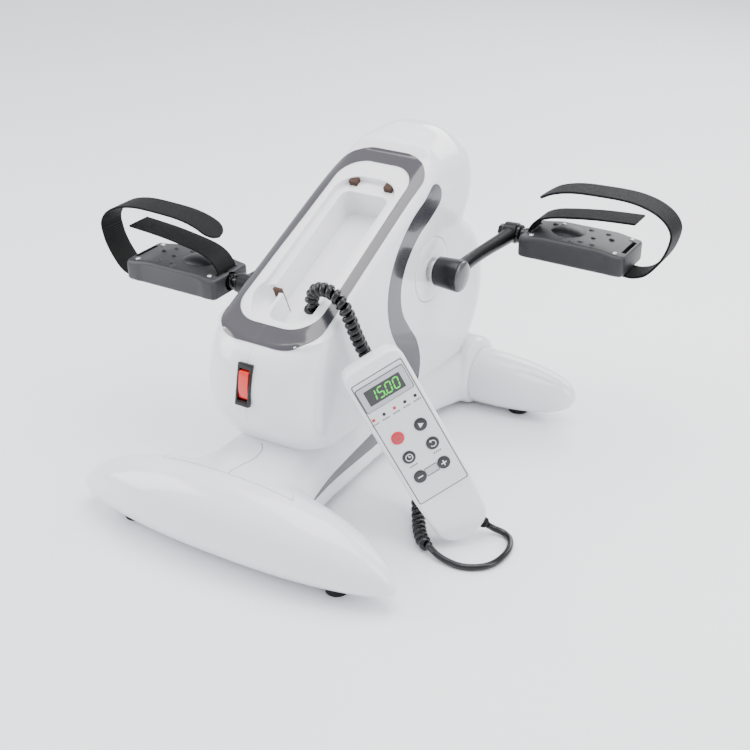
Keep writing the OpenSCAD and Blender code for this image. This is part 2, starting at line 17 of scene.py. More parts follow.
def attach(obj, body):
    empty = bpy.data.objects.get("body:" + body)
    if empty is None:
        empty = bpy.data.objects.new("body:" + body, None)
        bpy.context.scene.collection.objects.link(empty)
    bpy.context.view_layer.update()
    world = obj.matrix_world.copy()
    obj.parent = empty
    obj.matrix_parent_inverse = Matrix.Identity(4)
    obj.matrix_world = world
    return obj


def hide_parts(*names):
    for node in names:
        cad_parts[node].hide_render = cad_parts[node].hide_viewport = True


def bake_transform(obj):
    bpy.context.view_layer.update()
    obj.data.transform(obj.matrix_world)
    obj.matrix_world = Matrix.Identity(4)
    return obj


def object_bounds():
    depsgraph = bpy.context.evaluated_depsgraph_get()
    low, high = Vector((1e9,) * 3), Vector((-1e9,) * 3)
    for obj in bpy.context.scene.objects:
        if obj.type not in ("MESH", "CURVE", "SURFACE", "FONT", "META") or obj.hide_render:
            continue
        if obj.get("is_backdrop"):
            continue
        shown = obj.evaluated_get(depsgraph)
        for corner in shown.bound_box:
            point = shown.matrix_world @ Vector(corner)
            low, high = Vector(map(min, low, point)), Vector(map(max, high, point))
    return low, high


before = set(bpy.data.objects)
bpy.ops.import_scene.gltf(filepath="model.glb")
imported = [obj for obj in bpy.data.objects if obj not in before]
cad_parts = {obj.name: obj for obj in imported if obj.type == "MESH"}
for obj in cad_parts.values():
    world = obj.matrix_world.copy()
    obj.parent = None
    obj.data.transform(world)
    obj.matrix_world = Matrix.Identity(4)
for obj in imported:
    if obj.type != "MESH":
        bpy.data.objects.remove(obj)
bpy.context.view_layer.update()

MM = 0.001

# %% [markdown]
# ## Camera and studio
# The camera comes first, because the cord's check asks what the camera sees. A catalogue picture
# of a machine like this is taken from the front right, a little above it, with a long lens so
# that the shape isn't stretched. The light is soft and comes from all round, as in a white tent,
# because glossy white plastic shows its shape only by the soft edges of what it reflects.

# %% Camera
camera_data = bpy.data.cameras.new("catalogue_camera")
camera_data.lens = 61.7
camera_data.clip_end = 20
camera = bpy.data.objects.new("catalogue_camera", camera_data)
camera.location = (0.6414, -1.0029, 0.7395)
camera.rotation_euler = (math.radians(90 - 28.14), 0, math.radians(30.79))
bpy.context.scene.collection.objects.link(camera)
bpy.context.scene.camera = camera
print("camera", [round(v, 3) for v in camera.location])


# %% Softboxes and sky
def softbox(name, at, look_at, size, power):
    """A square area light at a point, facing another."""
    data = bpy.data.lights.new(name, "AREA")
    data.shape = "RECTANGLE"
    data.size, data.size_y = size
    data.energy = power
    lamp = bpy.data.objects.new(name, data)
    lamp.location = at
    lamp.rotation_euler = (Vector(look_at) - Vector(at)).to_track_quat("-Z", "Y").to_euler()
    bpy.context.scene.collection.objects.link(lamp)


softbox("top_box", (0.1, 0.1, 1.9), (0, 0, 0.1), (1.6, 1.6), 42)
softbox("left_box", (-1.7, -0.9, 1.1), (0, 0, 0.15), (1.0, 1.4), 28)
softbox("right_box", (1.9, 0.2, 1.3), (0, 0, 0.15), (0.7, 1.5), 20)
softbox("back_box", (0.2, 2.0, 1.2), (0, 0, 0.2), (1.8, 1.0), 28)

world = bpy.data.worlds.new("white_tent")
bpy.context.scene.world = world
world.use_nodes = True
sky = world.node_tree.nodes["Background"]
sky.inputs["Color"].default_value = (0.94, 0.96, 1.0, 1)
sky.inputs["Strength"].default_value = 1.35


# %% [markdown]
# ## Finishes
# Each finish is one small node tree. What makes plastic look moulded is not its colour but the
# faint unevenness of its skin, so most trees feed a fine noise into the bump and the roughness.
# What is the same all over a surface is typed straight into the shader's own socket.

# %% Node tree helpers
def finish_of(name, colour, rough, **sockets):
    """A material with its shader, to which detail is added."""
    made = bpy.data.materials.new(name)
    made.use_nodes = True
    shader = made.node_tree.nodes["Principled BSDF"]
    shader.inputs["Base Color"].default_value = (*colour, 1)
    shader.inputs["Roughness"].default_value = rough
    for socket, value in sockets.items():
        shader.inputs[socket.replace("_", " ")].default_value = value
    return made, shader


def node(made, kind, **inputs):
    """Adds a node and sets its inputs by name."""
    added = made.node_tree.nodes.new(kind)
    for name, value in inputs.items():
        added.inputs[name.replace("_", " ")].default_value = value
    return added


def place_of(made):
    return made.node_tree.nodes.new("ShaderNodeTexCoord").outputs["Object"]


def noise_bump(made, shader, scale, strength, distance=0.0002, detail=3.0):
    """Fine unevenness of the skin, in bumps per metre."""
    link = made.node_tree.links.new
    noise = node(made, "ShaderNodeTexNoise", Scale=scale, Detail=detail)
    bump = node(made, "ShaderNodeBump", Strength=strength, Distance=distance)
    link(place_of(made), noise.inputs["Vector"])
    link(noise.outputs["Fac"], bump.inputs["Height"])
    link(bump.outputs["Normal"], shader.inputs["Normal"])
    return noise


def noise_range(made, socket, scale, low, high, detail=3.0):
    """Lets a socket drift between two values across the surface."""
    link = made.node_tree.links.new
    noise = node(made, "ShaderNodeTexNoise", Scale=scale, Detail=detail)
    spread = node(made, "ShaderNodeMapRange", To_Min=low, To_Max=high)
    link(place_of(made), noise.inputs["Vector"])
    link(noise.outputs["Fac"], spread.inputs["Value"])
    link(spread.outputs["Result"], socket)


def noise_colour(made, shader, scale, dark, light, detail=4.0):
    """Lets the base colour drift between two colours."""
    link = made.node_tree.links.new
    noise = node(made, "ShaderNodeTexNoise", Scale=scale, Detail=detail)
    ramp = node(made, "ShaderNodeValToRGB")
    ramp.color_ramp.elements[0].position = 0.35
    ramp.color_ramp.elements[0].color = (*dark, 1)
    ramp.color_ramp.elements[1].position = 0.65
    ramp.color_ramp.elements[1].color = (*light, 1)
    link(place_of(made), noise.inputs["Vector"])
    link(noise.outputs["Fac"], ramp.inputs["Fac"])
    link(ramp.outputs["Color"], shader.inputs["Base Color"])


def plastic(name, dark, light, rough, grain, strength, coat=0.0, **sockets):
    """Moulded plastic: two close shades, a grain, and a roughness that drifts."""
    made, shader = finish_of(name, light, rough, Coat_Weight=coat, Coat_Roughness=0.06, **sockets)
    noise_colour(made, shader, 9, dark, light)
    noise_range(made, shader.inputs["Roughness"], 14, rough * 0.85, rough * 1.2)
    noise_bump(made, shader, grain, strength)
    return made


# %% The finishes
casing_white = plastic("casing_white", (0.80, 0.80, 0.835), (0.83, 0.83, 0.86), 0.2, 260, 0.05, coat=0.5)
tray_white = plastic("tray_white", (0.82, 0.82, 0.84), (0.85, 0.85, 0.87), 0.26, 300, 0.05, coat=0.3)
trim_grey = plastic("trim_grey", (0.036, 0.033, 0.041), (0.044, 0.041, 0.049), 0.16, 900, 0.04, coat=0.5)
pedal_charcoal = plastic("pedal_charcoal", (0.024, 0.0245, 0.027), (0.032, 0.0325, 0.036),
                         0.42, 1900, 0.4, Specular_IOR_Level=0.4)
satin_black = plastic("satin_black", (0.003, 0.003, 0.0035), (0.005, 0.005, 0.006), 0.26, 700, 0.1,
                      Specular_IOR_Level=0.35)
gloss_black = plastic("gloss_black", (0.002, 0.002, 0.0025), (0.004, 0.004, 0.0045), 0.14, 500, 0.05,
                      Specular_IOR_Level=0.45)
matt_rubber = plastic("matt_rubber", (0.005, 0.005, 0.0055), (0.009, 0.009, 0.009), 0.55, 2400, 0.3,
                      Specular_IOR_Level=0.3)
cap_grey = plastic("cap_grey", (0.055, 0.056, 0.060), (0.070, 0.071, 0.075), 0.22, 800, 0.08, coat=0.3)
handset_white = plastic("handset_white", (0.80, 0.80, 0.83), (0.83, 0.83, 0.855), 0.24, 420, 0.06,
                        coat=0.4)
panel_print = plastic("panel_print", (0.68, 0.69, 0.71), (0.72, 0.73, 0.75), 0.34, 1500, 0.08)
ink_grey = plastic("ink_grey", (0.11, 0.11, 0.12), (0.13, 0.13, 0.14), 0.4, 1500, 0.05)
bezel_grey = plastic("bezel_grey", (0.42, 0.44, 0.46), (0.50, 0.52, 0.54), 0.35, 1200, 0.06)
key_black = plastic("key_black", (0.016, 0.016, 0.018), (0.024, 0.024, 0.026), 0.3, 1500, 0.15)
key_red = plastic("key_red", (0.52, 0.012, 0.030), (0.60, 0.016, 0.038), 0.3, 1500, 0.12)
ink_white = plastic("ink_white", (0.80, 0.80, 0.80), (0.86, 0.86, 0.86), 0.4, 1500, 0.05)
foam_brown = plastic("foam_brown", (0.045, 0.022, 0.014), (0.075, 0.038, 0.024), 0.85, 3200, 0.9)
# Painted shadow: the dark grey of the thin strips laid along the seams, where the shade of a groove
# falls.
painted_seam_shadow = plastic("painted_seam_shadow", (0.10, 0.10, 0.11), (0.14, 0.14, 0.15), 0.7, 600, 0.1)
board_green = plastic("board_green", (0.008, 0.06, 0.03), (0.012, 0.09, 0.045), 0.35, 900, 0.3)
frame_paint = plastic("frame_paint", (0.020, 0.022, 0.025), (0.032, 0.034, 0.038), 0.45, 1400, 0.4)


# %% [markdown]
# Bare steel is a metal with fine turning marks, so its roughness is streaked across the turning
# direction. Straps are woven: two crossed waves make the threads, and the colour is painted darker
# in the hollows between threads and lighter on their tops, as painted shade and painted sheen. Lit
# parts need light of their own: the rocker glows from a lamp inside it, and the digits and two of
# the lamps are lit from behind.

# %% Metal, webbing and lit parts
def bare_steel(name, tint, rough):
    made, shader = finish_of(name, tint, rough, Metallic=1.0)
    noise_range(made, shader.inputs["Roughness"], 600, rough * 0.7, rough * 1.5, detail=2.0)
    noise_bump(made, shader, 900, 0.15)
    return made


def webbing(name, colour, threads):
    made, shader = finish_of(name, colour, 0.55, Specular_IOR_Level=0.1)
    link = made.node_tree.links.new
    where = place_of(made)
    heights = []
    for direction in ("X", "Y"):
        wave = node(made, "ShaderNodeTexWave", Scale=threads, Distortion=0.4, Detail=1.0)
        wave.bands_direction = direction
        link(where, wave.inputs["Vector"])
        heights.append(wave.outputs["Fac"])
    weave = made.node_tree.nodes.new("ShaderNodeMath")
    weave.operation = "MULTIPLY"
    link(heights[0], weave.inputs[0])
    link(heights[1], weave.inputs[1])
    bump = node(made, "ShaderNodeBump", Strength=0.55, Distance=0.0003)
    link(weave.outputs["Value"], bump.inputs["Height"])
    link(bump.outputs["Normal"], shader.inputs["Normal"])
    # Painted shade and painted sheen: the base colour follows the weave's height, from half the strap
    # colour in the hollows to 1.6 times it on the thread tops.
    ramp = node(made, "ShaderNodeValToRGB")
    ramp.color_ramp.elements[0].color = (*[0.5 * c for c in colour], 1)
    ramp.color_ramp.elements[1].color = (*[1.6 * c for c in colour], 1)
    link(weave.outputs["Value"], ramp.inputs["Fac"])
    link(ramp.outputs["Color"], shader.inputs["Base Color"])
    return made


def lit(name, colour, glow, strength, rough=0.12):
    made, shader = finish_of(name, colour, rough, Coat_Weight=0.6, Emission_Strength=strength)
    shader.inputs["Emission Color"].default_value = (*glow, 1)
    noise_bump(made, shader, 500, 0.05)
    return made


turned_steel = bare_steel("turned_steel", (0.62, 0.61, 0.60), 0.28)
zinc_steel = bare_steel("zinc_steel", (0.66, 0.66, 0.64), 0.36)
strap_black = webbing("strap_black", (0.008, 0.008, 0.0085), 520)
rocker_red = lit("rocker_red", (0.60, 0.012, 0.004), (1.0, 0.015, 0.003), 0.16)
digit_green = lit("digit_green", (0.02, 0.5, 0.015), (0.035, 1.0, 0.02), 0.7)
lamp_on = lit("lamp_on", (0.45, 0.008, 0.015), (1.0, 0.01, 0.02), 0.1)
lamp_off = plastic("lamp_off", (0.03, 0.015, 0.015), (0.05, 0.025, 0.022), 0.2, 900, 0.05)
window_dark = plastic("window_dark", (0.010, 0.012, 0.011), (0.014, 0.016, 0.015), 0.08, 300, 0.02,
                      coat=0.6)
print(len(bpy.data.materials), "finishes")

# %% [markdown]
# ## Mesh helpers
# Almost every piece below is one of four things: a loft through a row of rings, a shape turned on
# a lathe, a strip laid on another surface, or one solid cut by another. Each of those is a short
# function, and the piece itself is then a few lines of sizes in millimetres.

# %% Making objects
def mesh_piece(name, points, faces, material, sharp=38):
    """An object from points in millimetres, smooth but for edges over the sharp angle."""
    mesh = bpy.data.meshes.new(name)
    mesh.from_pydata([tuple(c * MM for c in p) for p in points], [], faces)
    mesh.materials.append(material)
    made = bpy.data.objects.new(name, mesh)
    bpy.context.scene.collection.objects.link(made)
    tidy(made, sharp)
    return made


def tidy(made, sharp=38):
    """Faces outward, and smooth shading with sharp edges kept."""
    work = bmesh.new()
    work.from_mesh(made.data)
    bmesh.ops.remove_doubles(work, verts=work.verts, dist=0.005 * MM)
    bmesh.ops.recalc_face_normals(work, faces=work.faces)
    work.to_mesh(made.data)
    work.free()
    made.data.shade_smooth()
    made.data.set_sharp_from_angle(angle=math.radians(sharp))


def apply_modifiers(made):
    """Turns an object's modifiers into plain mesh."""
    depsgraph = bpy.context.evaluated_depsgraph_get()
    done = bpy.data.meshes.new_from_object(made.evaluated_get(depsgraph))
    made.modifiers.clear()
    made.data = done


def combine(made, other, how="DIFFERENCE"):
    """Cuts a solid from another or joins it on, and removes the tool."""
    step = made.modifiers.new(how.lower(), "BOOLEAN")
    step.operation = how
    step.solver = "EXACT"
    step.object = other
    apply_modifiers(made)
    bpy.data.objects.remove(other)


def soften(made, width, segments=3, angle=40, sharp=38):
    """Rounds the edges of a solid by a width in millimetres."""
    step = made.modifiers.new("bevel", "BEVEL")
    step.width = width * MM
    step.segments = segments
    step.limit_method = "ANGLE"
    step.angle_limit = math.radians(angle)
    step.use_clamp_overlap = True
    apply_modifiers(made)
    made.data.shade_smooth()
    made.data.set_sharp_from_angle(angle=math.radians(sharp))


def join(name, pieces):
    """One object from several, each keeping its material."""
    work = bmesh.new()
    materials = []
    for piece in pieces:
        start = len(work.faces)
        mesh = piece.data
        mesh.transform(piece.matrix_world)
        places = []
        for material in mesh.materials:
            if material not in materials:
                materials.append(material)
            places.append(materials.index(material))
        work.from_mesh(mesh)
        work.faces.ensure_lookup_table()
        for face in work.faces[start:]:
            face.material_index = places[face.material_index]
        bpy.data.objects.remove(piece)
    mesh = bpy.data.meshes.new(name)
    work.to_mesh(mesh)
    work.free()
    for material in materials:
        mesh.materials.append(material)
    made = bpy.data.objects.new(name, mesh)
    bpy.context.scene.collection.objects.link(made)
    return made


# %% Lofts, lathes and tubes
def loft(name, rings, material, caps=True, sharp=38):
    """A skin through rings of equally many points, closed at both ends."""
    count = len(rings[0])
    points = [p for ring in rings for p in ring]
    faces = [(a * count + k, a * count + (k + 1) % count,
              (a + 1) * count + (k + 1) % count, (a + 1) * count + k)
             for a in range(len(rings) - 1) for k in range(count)]
    if caps:
        faces.append(tuple(range(count - 1, -1, -1)))
        faces.append(tuple((len(rings) - 1) * count + k for k in range(count)))
    return mesh_piece(name, points, faces, material, sharp)


def lathe(name, profile, y, z, material, side=1, steps=48, sharp=38):
    """A shape turned about a line along X, from (x, radius) pairs."""
    rings = [[(side * x, y + max(r, 0.02) * math.cos(math.tau * k / steps),
               z + max(r, 0.02) * math.sin(math.tau * k / steps)) for k in range(steps)]
             for x, r in profile]
    return loft(name, rings, material, sharp=sharp)


def through(points, steps=6):
    """A smooth curve through points, as more points."""
    out = []
    for i in range(len(points) - 1):
        before, a = Vector(points[max(i - 1, 0)]), Vector(points[i])
        b, after = Vector(points[i + 1]), Vector(points[min(i + 2, len(points) - 1)])
        for k in range(steps):
            t = k / steps
            out.append(0.5 * (2 * a + (b - before) * t
                              + (2 * before - 5 * a + 4 * b - after) * t * t
                              + (3 * a - before - 3 * b + after) * t ** 3))
    return out + [Vector(points[-1])]


def read_off(pairs, at):
    """The value at a place on a smooth curve through (place, value) pairs."""
    if at <= pairs[0][0]:
        return pairs[0][1]
    for i in range(len(pairs) - 1):
        (x0, y0), (x1, y1) = pairs[i], pairs[i + 1]
        if at <= x1:
            before, after = pairs[max(i - 1, 0)], pairs[min(i + 2, len(pairs) - 1)]
            m0 = (y1 - before[1]) / (x1 - before[0])
            m1 = (after[1] - y0) / (after[0] - x0)
            h, t = x1 - x0, (at - x0) / (x1 - x0)
            return ((2 * t ** 3 - 3 * t * t + 1) * y0 + (t ** 3 - 2 * t * t + t) * h * m0
                    + (3 * t * t - 2 * t ** 3) * y1 + (t ** 3 - t * t) * h * m1)
    return pairs[-1][1]


def frames_along(path):
    """Two sides for each point of a path, carried along without twist."""
    out, side = [], None
    for i, here in enumerate(path):
        ahead = (path[min(i + 1, len(path) - 1)] - path[max(i - 1, 0)]).normalized()
        if side is None:
            side = ahead.cross(Vector((0, 1, 0.3))).normalized()
        side = (side - side.dot(ahead) * ahead).normalized()
        out.append((side, ahead.cross(side)))
    return out


def tube(name, path, radius, material, sides=12, caps=True):
    """A round bar along a path; radius is a number or a function of the share along it."""
    rings = []
    for i, (here, (u, v)) in enumerate(zip(path, frames_along(path))):
        r = radius(i / (len(path) - 1)) if callable(radius) else radius
        rings.append([here + r * (math.cos(math.tau * k / sides) * u
                                  + math.sin(math.tau * k / sides) * v) for k in range(sides)])
    return loft(name, rings, material, caps=caps, sharp=50)


def prism(name, outline, low, high, place, material):
    """A flat outline given thickness, then put in place by a matrix in millimetres."""
    rings = [[place @ Vector((x, y, h)) for x, y in outline] for h in (low, high)]
    return loft(name, rings, material)


def rounded(half_w, half_l, r, steps=8, middle=(0, 0)):
    """Outline of a rounded rectangle."""
    out = []
    for sx, sy, turn in ((1, -1, 270), (1, 1, 0), (-1, 1, 90), (-1, -1, 180)):
        for k in range(steps + 1):
            a = math.radians(turn + 90 * k / steps)
            out.append((middle[0] + sx * (half_w - r) + r * math.cos(a),
                        middle[1] + sy * (half_l - r) + r * math.sin(a)))
    return out


def disc(radius, steps=40, middle=(0, 0)):
    return [(middle[0] + radius * math.cos(math.tau * k / steps),
             middle[1] + radius * math.sin(math.tau * k / steps)) for k in range(steps)]


# %% Placing matrices
SLOPE = math.radians(24.3)
slope = Matrix.Translation((0, -28, 254.5)) @ Matrix.Rotation(SLOPE, 4, "X")
turn = [math.radians(a) for a in (79, -26, 49)]
handset = (Matrix.Translation((140, -96, 124)) @ Matrix.Rotation(turn[2], 4, "Z")
           @ Matrix.Rotation(turn[1], 4, "Y") @ Matrix.Rotation(turn[0], 4, "X"))
print("slope normal", [round(c, 3) for c in slope.to_3x3() @ Vector((0, 0, 1))])

# %% [markdown]
# ## The curly cord
# A curly cord is made straight, wound on a rod and baked, so its jacket remembers the coil. Here
# the coil follows the cord's middle line: at each step along the line the wire's centre goes
# round it once for about every seven millimetres travelled, and a round wire is swept along
# that. The last stretch isn't curled: it lies on the floor and turns up into the handset's
# strain relief.

# %% The cord's own path
cord_route = [
    (25.5, -86, 222), (26, -86, 231), (31, -88, 241), (42, -92, 247), (55, -95, 247),
    (66, -96, 239), (72, -93, 224), (75, -87, 206), (79, -79, 186), (85, -68, 166),
    (92, -58, 146), (98, -50, 124), (103, -44, 102), (107, -40, 80), (111, -39, 60),
    (116, -41, 41), (122, -47, 26), (128, -57, 15), (136, -70, 9.5), (145, -84, 7.5),
    (156, -97, 7.5), (168, -104, 7.5)]
lead_route = [
    (168, -104, 7.5), (178, -108, 5.5), (190, -110, 4), (203, -110, 3.5), (214, -106, 3.5),
    (224, -98, 3.5), (230, -86, 3.5), (232, -70, 3.5), (230, -56, 3.5), (224, -45, 3.5),
    (215, -40, 4), (206, -42, 6.8), (200.5, -46, 11.5)]
WIRE = 6.6
COIL = 14.5
PITCH = 7.4


def evenly(points, gap):
    """The same curve with a point every gap millimetres."""
    out, left = [points[0].copy()], gap
    for a, b in zip(points, points[1:]):
        length = (b - a).length
        while left <= length:
            out.append(a.lerp(b, left / length))
            left += gap
        left -= length
    return out


middle = evenly(through(cord_route, 12), 0.5)
wire = []
for i, (here, (u, v)) in enumerate(zip(middle, frames_along(middle))):
    travelled = 0.5 * i
    reach = (COIL - WIRE) / 2 * min(1, travelled / 5, (len(middle) - 1 - i) * 0.5 / 8 + 0.001)
    angle = math.tau * travelled / PITCH
    wire.append(here + reach * (math.cos(angle) * u + math.sin(angle) * v))
wire += evenly(through(lead_route, 10), 1.5)[1:]
wire.append(Vector(lead_route[-1]))

# %% The cord itself
curly_cord = tube("handset_cord", wire, WIRE / 2, gloss_black, sides=10)
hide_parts("handset_cord", "handset_lead")

# %% [markdown]
# ## The casing
# The casing is two deep mouldings that meet on the machine's centre plane. Its form is easiest to
# read as horizontal slices: each has a front and a back limit, a half width, and round corners,
# and the sloping top simply moves the front limit back as the slices rise. A loft through some
# hundred and fifty of them gives a skin with no corners of its own, as a mould would.

# %% Limits of a slice
front_limit = [(60, -127), (76, -130), (92, -137), (104, -147), (116, -156), (128, -161.5),
               (140, -164), (160, -165), (182, -160), (192, -155), (198, -150.5),
               (203, -144), (207, -135), (211, -124.4)]
neck_limit = [(210, 216), (214, 212), (218, 206.5), (224, 198.5), (230, 193.2), (236, 191.3),
              (242, 193), (248, 197.6), (254, 202.8), (258, 204.4)]


def front_of(z):
    if z < 211:
        return read_off(front_limit, z)
    if z < 314:
        return -28 + (z - 254.5) / math.tan(SLOPE)
    return 150 - math.sqrt(max(58 ** 2 - (z - 278) ** 2, 0))


def back_of(z):
    if z < 214:
        return 152 + math.sqrt(90 ** 2 - (max(z, 70) - 147) ** 2)
    if z < 254:
        return read_off(neck_limit, z)
    return 150 + math.sqrt(max(58 ** 2 - (z - 278) ** 2, 0))


def half_width_of(z):
    dome = (1 - (max(z - 278, 0) / 58.6) ** 2.2) ** (1 / 2.2)
    return 60 * dome - 2 * (max(150 - z, 0) / 60) ** 2


def ramp(z, low, high):
    t = min(max((z - low) / (high - low), 0), 1)
    return t * t * (3 - 2 * t)


# %% One slice
def half_slice(z, count=112):
    """Right half of a slice, from the front seam round to the back seam."""
    w, start, end = half_width_of(z), front_of(z), back_of(z)
    top = ramp(z, 298, 330)
    reach = (end - start) / 2
    edge = 18 * ramp(z, 196, 214) * (1 - top)
    tall = 30 * ramp(z, 196, 214) * (1 - top)
    corner_x = 50 + (w * 0.98 - 50) * top
    corner_y = 35 + (reach * 0.98 - 35) * top
    corner_x = min(corner_x, w * 0.98)
    corner_start = start if z < 203 else -144 + (start + 144) * top
    back_x = min(44 + (w * 0.98 - 44) * top, w * 0.98)
    back_y = 44 + (reach * 0.98 - 44) * top
    points = [(0.0, start), (0.45, start)]
    a, b = corner_x - edge, max(corner_y - tall, 0.5)
    centre = (w - corner_x, corner_start + tall + b)
    lowest = start + tall
    share = min(max((centre[1] - lowest) / max(b, 0.01), 0), 1)
    first = math.acos(share)
    if lowest > centre[1]:
        first = math.pi / 2
    corner = []
    for k in range(13):
        t = first + (math.pi / 2 - first) * k / 12
        x = centre[0] + a * math.sin(t)
        y = max(centre[1] - b * math.cos(t), lowest)
        n = Vector((math.sin(t) / max(a, 0.1), -math.cos(t) / max(b, 0.1))).normalized()
        corner.append((x, y, math.atan2(n.x, -n.y)))
    x, y, turned = corner[0]
    corner = [(x, y, turned * k / 12) for k in range(12)] + corner
    for x, y, t in corner:
        across, down = edge ** 2 * math.sin(t), tall ** 2 * math.cos(t)
        reach = math.hypot(edge * math.sin(t), tall * math.cos(t)) or 1
        points.append((x + across / reach, y - down / reach))
    for k in range(25):
        t = math.pi / 2 * k / 24
        points.append((w - back_x + back_x * math.cos(t), end - back_y + back_y * math.sin(t)))
    points.append((0.45, end))
    lengths = [0.0]
    for p, q in zip(points, points[1:]):
        lengths.append(lengths[-1] + math.dist(p, q))
    out, i = [], 1
    for k in range(count + 1):
        want = lengths[1] + (lengths[-1] - lengths[1]) * k / count
        while i < len(points) - 1 and lengths[i] < want:
            i += 1
        gap = lengths[i] - lengths[i - 1]
        t = (want - lengths[i - 1]) / gap if gap > 1e-9 else 0
        out.append(tuple(points[i - 1][c] + (points[i][c] - points[i - 1][c]) * t for c in (0, 1)))
    return [(0.0, start + 0.7)] + out + [(0.0, end - 0.7)]


def slice_ring(z):
    half = half_slice(z)
    return ([(x, y, z) for x, y in half] + [(-x, y, z) for x, y in half[-2:0:-1]])


heights = [62 + 2 * i for i in range(108)] + [278 + 58.5 * math.sin(math.radians(2.5 * i))
                                              for i in range(1, 36)]
casing = loft("casing", [slice_ring(z) for z in heights], casing_white, sharp=60)
casing_skin = BVHTree.FromObject(casing, bpy.context.evaluated_depsgraph_get())
print(len(casing.data.vertices), "points in the casing's skin")

# %% [markdown]
# ## Openings in the casing
# The mould leaves a long window in the sloping top for the handset's cradle, a round shallow seat
# on each side for the axle covers, and a slot in the nose for the power switch. Each opening is
# cut with a closed solid that passes clean through the skin.

# %% Cuts
def slope_solid(name, half, low_a, high_a, r, low, high, material):
    """A rounded block that stands on the sloping top, from its length along the slope."""
    outline = rounded(half, (high_a - low_a) / 2, r, 10, (0, (low_a + high_a) / 2))
    return prism(name, outline, low, high, slope, material)


combine(casing, slope_solid("cutter", 44, -103, 130, 30, -60, 60, casing_white))
AXLE_Y, AXLE_Z = 88, 204
for side in (-1, 1):
    combine(casing, lathe("cutter", [(57.4, 35.3), (80, 35.3)], AXLE_Y, AXLE_Z, casing_white, side, 96))
switch = Matrix.Translation((0, -163, 168)) @ Matrix.Rotation(math.radians(78), 4, "X")
combine(casing, prism("cutter", rounded(7, 19.6, 0.5, 2), -14, 14, switch, casing_white))
sideways = Matrix(((0, 0, 1, 0), (1, 0, 0, 0), (0, 1, 0, 0), (0, 0, 0, 1)))
combine(casing, prism("cutter", [(-200, 40), (300, 40), (300, 66.6), (-200, 95.8)],
                      -90, 90, sideways, casing_white))
tidy(casing, 42)


def half_of(made, name, side):
    """A copy of one side of an object, split on the centre plane."""
    twin = made.copy()
    twin.data = made.data.copy()
    twin.name = name
    bpy.context.scene.collection.objects.link(twin)
    work = bmesh.new()
    work.from_mesh(twin.data)
    bmesh.ops.bisect_plane(work, geom=work.verts[:] + work.edges[:] + work.faces[:],
                           plane_co=(0, 0, 0), plane_no=(side, 0, 0), clear_inner=True, dist=1e-6)
    work.to_mesh(twin.data)
    work.free()
    return twin


for side, name in ((-1, "casing_left"), (1, "casing_right")):
    shell = half_of(casing, name + "_shell", side)
    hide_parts(name)
    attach(shell, "root")
bpy.data.objects.remove(casing)

# %% [markdown]
# ## Cradle, ring and pads
# The cradle is a separate tray dropped into the window: a shallow seat for the handset's edge and
# a deep pocket for its body. Three solids make it: a block, less the seat, less the pocket. A
# scoop at the front lets a thumb under the handset, and brown foam pads stop it rattling. The
# painted ring is a thin cover strip that hides the joint between the tray and the casing.

# %% The tray
tray = slope_solid("tray", 45.4, -104.5, 131.5, 31, -41, -0.2, tray_white)
combine(tray, slope_solid("cutter", 34.5, -97, 107, 24, -7, 5, tray_white))
combine(tray, slope_solid("cutter", 27, -57, 90, 9, -38, 0, tray_white))
combine(tray, prism("cutter", rounded(15, 22, 10, 8, (2, -68)), -34, 0, slope, tray_white))
soften(tray, 2.2, 4, 35)


def egg(name, centre, radii, place, material, rings=20, steps=36):
    """A stretched ball, for scoops and domes."""
    out = []
    for i in range(1, rings):
        a = math.pi * i / rings
        out.append([place @ Vector((centre[0] + radii[0] * math.sin(a) * math.cos(math.tau * k / steps),
                                    centre[1] + radii[1] * math.sin(a) * math.sin(math.tau * k / steps),
                                    centre[2] + radii[2] * math.cos(a))) for k in range(steps)])
    return loft(name, out, material)


combine(tray, egg("cutter", (-27, -66, -4), (11, 17, 14), slope, tray_white))
combine(tray, prism("cutter", disc(7.4, 40, (25.5, -66)), -30, 5, slope, tray_white))
tidy(tray, 40)
tray.name = "cradle_tray_shell"
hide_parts("cradle_tray")
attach(tray, "root")


# %% Strips laid on the casing
RAY_START = 60


def laid_strip(name, rows, aim, lift, material, skirt=0.8, skin=casing_skin):
    """A thin cover laid on a skin: each row's points drop onto it along a direction."""
    aim = Vector(aim).normalized()
    laid = []
    for row in rows:
        line = []
        for p in row:
            start = (Vector(p) - aim * RAY_START) * MM
            hit, normal, _, _ = skin.ray_cast(start, aim)
            if hit is None:
                hit, normal, _, _ = skin.find_nearest(Vector(p) * MM)
            if normal.dot(aim) > 0:
                normal = -normal
            line.append((hit / MM, normal))
        sunk = [h - n * skirt for h, n in (line[0], line[-1])]
        laid.append(sunk[:1] + [h + n * lift for h, n in line] + sunk[1:])
    count = len(laid[0])
    points = [p for row in laid for p in row]
    faces = [(a * count + k, a * count + k + 1, (a + 1) * count + k + 1, (a + 1) * count + k)
             for a in range(len(laid) - 1) for k in range(count - 1)]
    return mesh_piece(name, points, faces, material, 50)


def loop_points(half_low, half_high, low_a, high_a, r):
    """A rounded loop on the slope, as (x, a), evenly spaced, narrower at its upper end."""
    middle_a = (low_a + high_a) / 2
    outline = rounded(half_low, (high_a - low_a) / 2, r, 16, (0, middle_a))
    closed = [Vector(p).to_3d() for p in outline + outline[:1]]
    total = sum((b - a).length for a, b in zip(closed, closed[1:]))
    spaced = evenly(closed, total / 200.2)[:200]
    return [(p.x * (1 + (half_high / half_low - 1) * ramp(p.y, low_a, high_a)), p.y) for p in spaced]


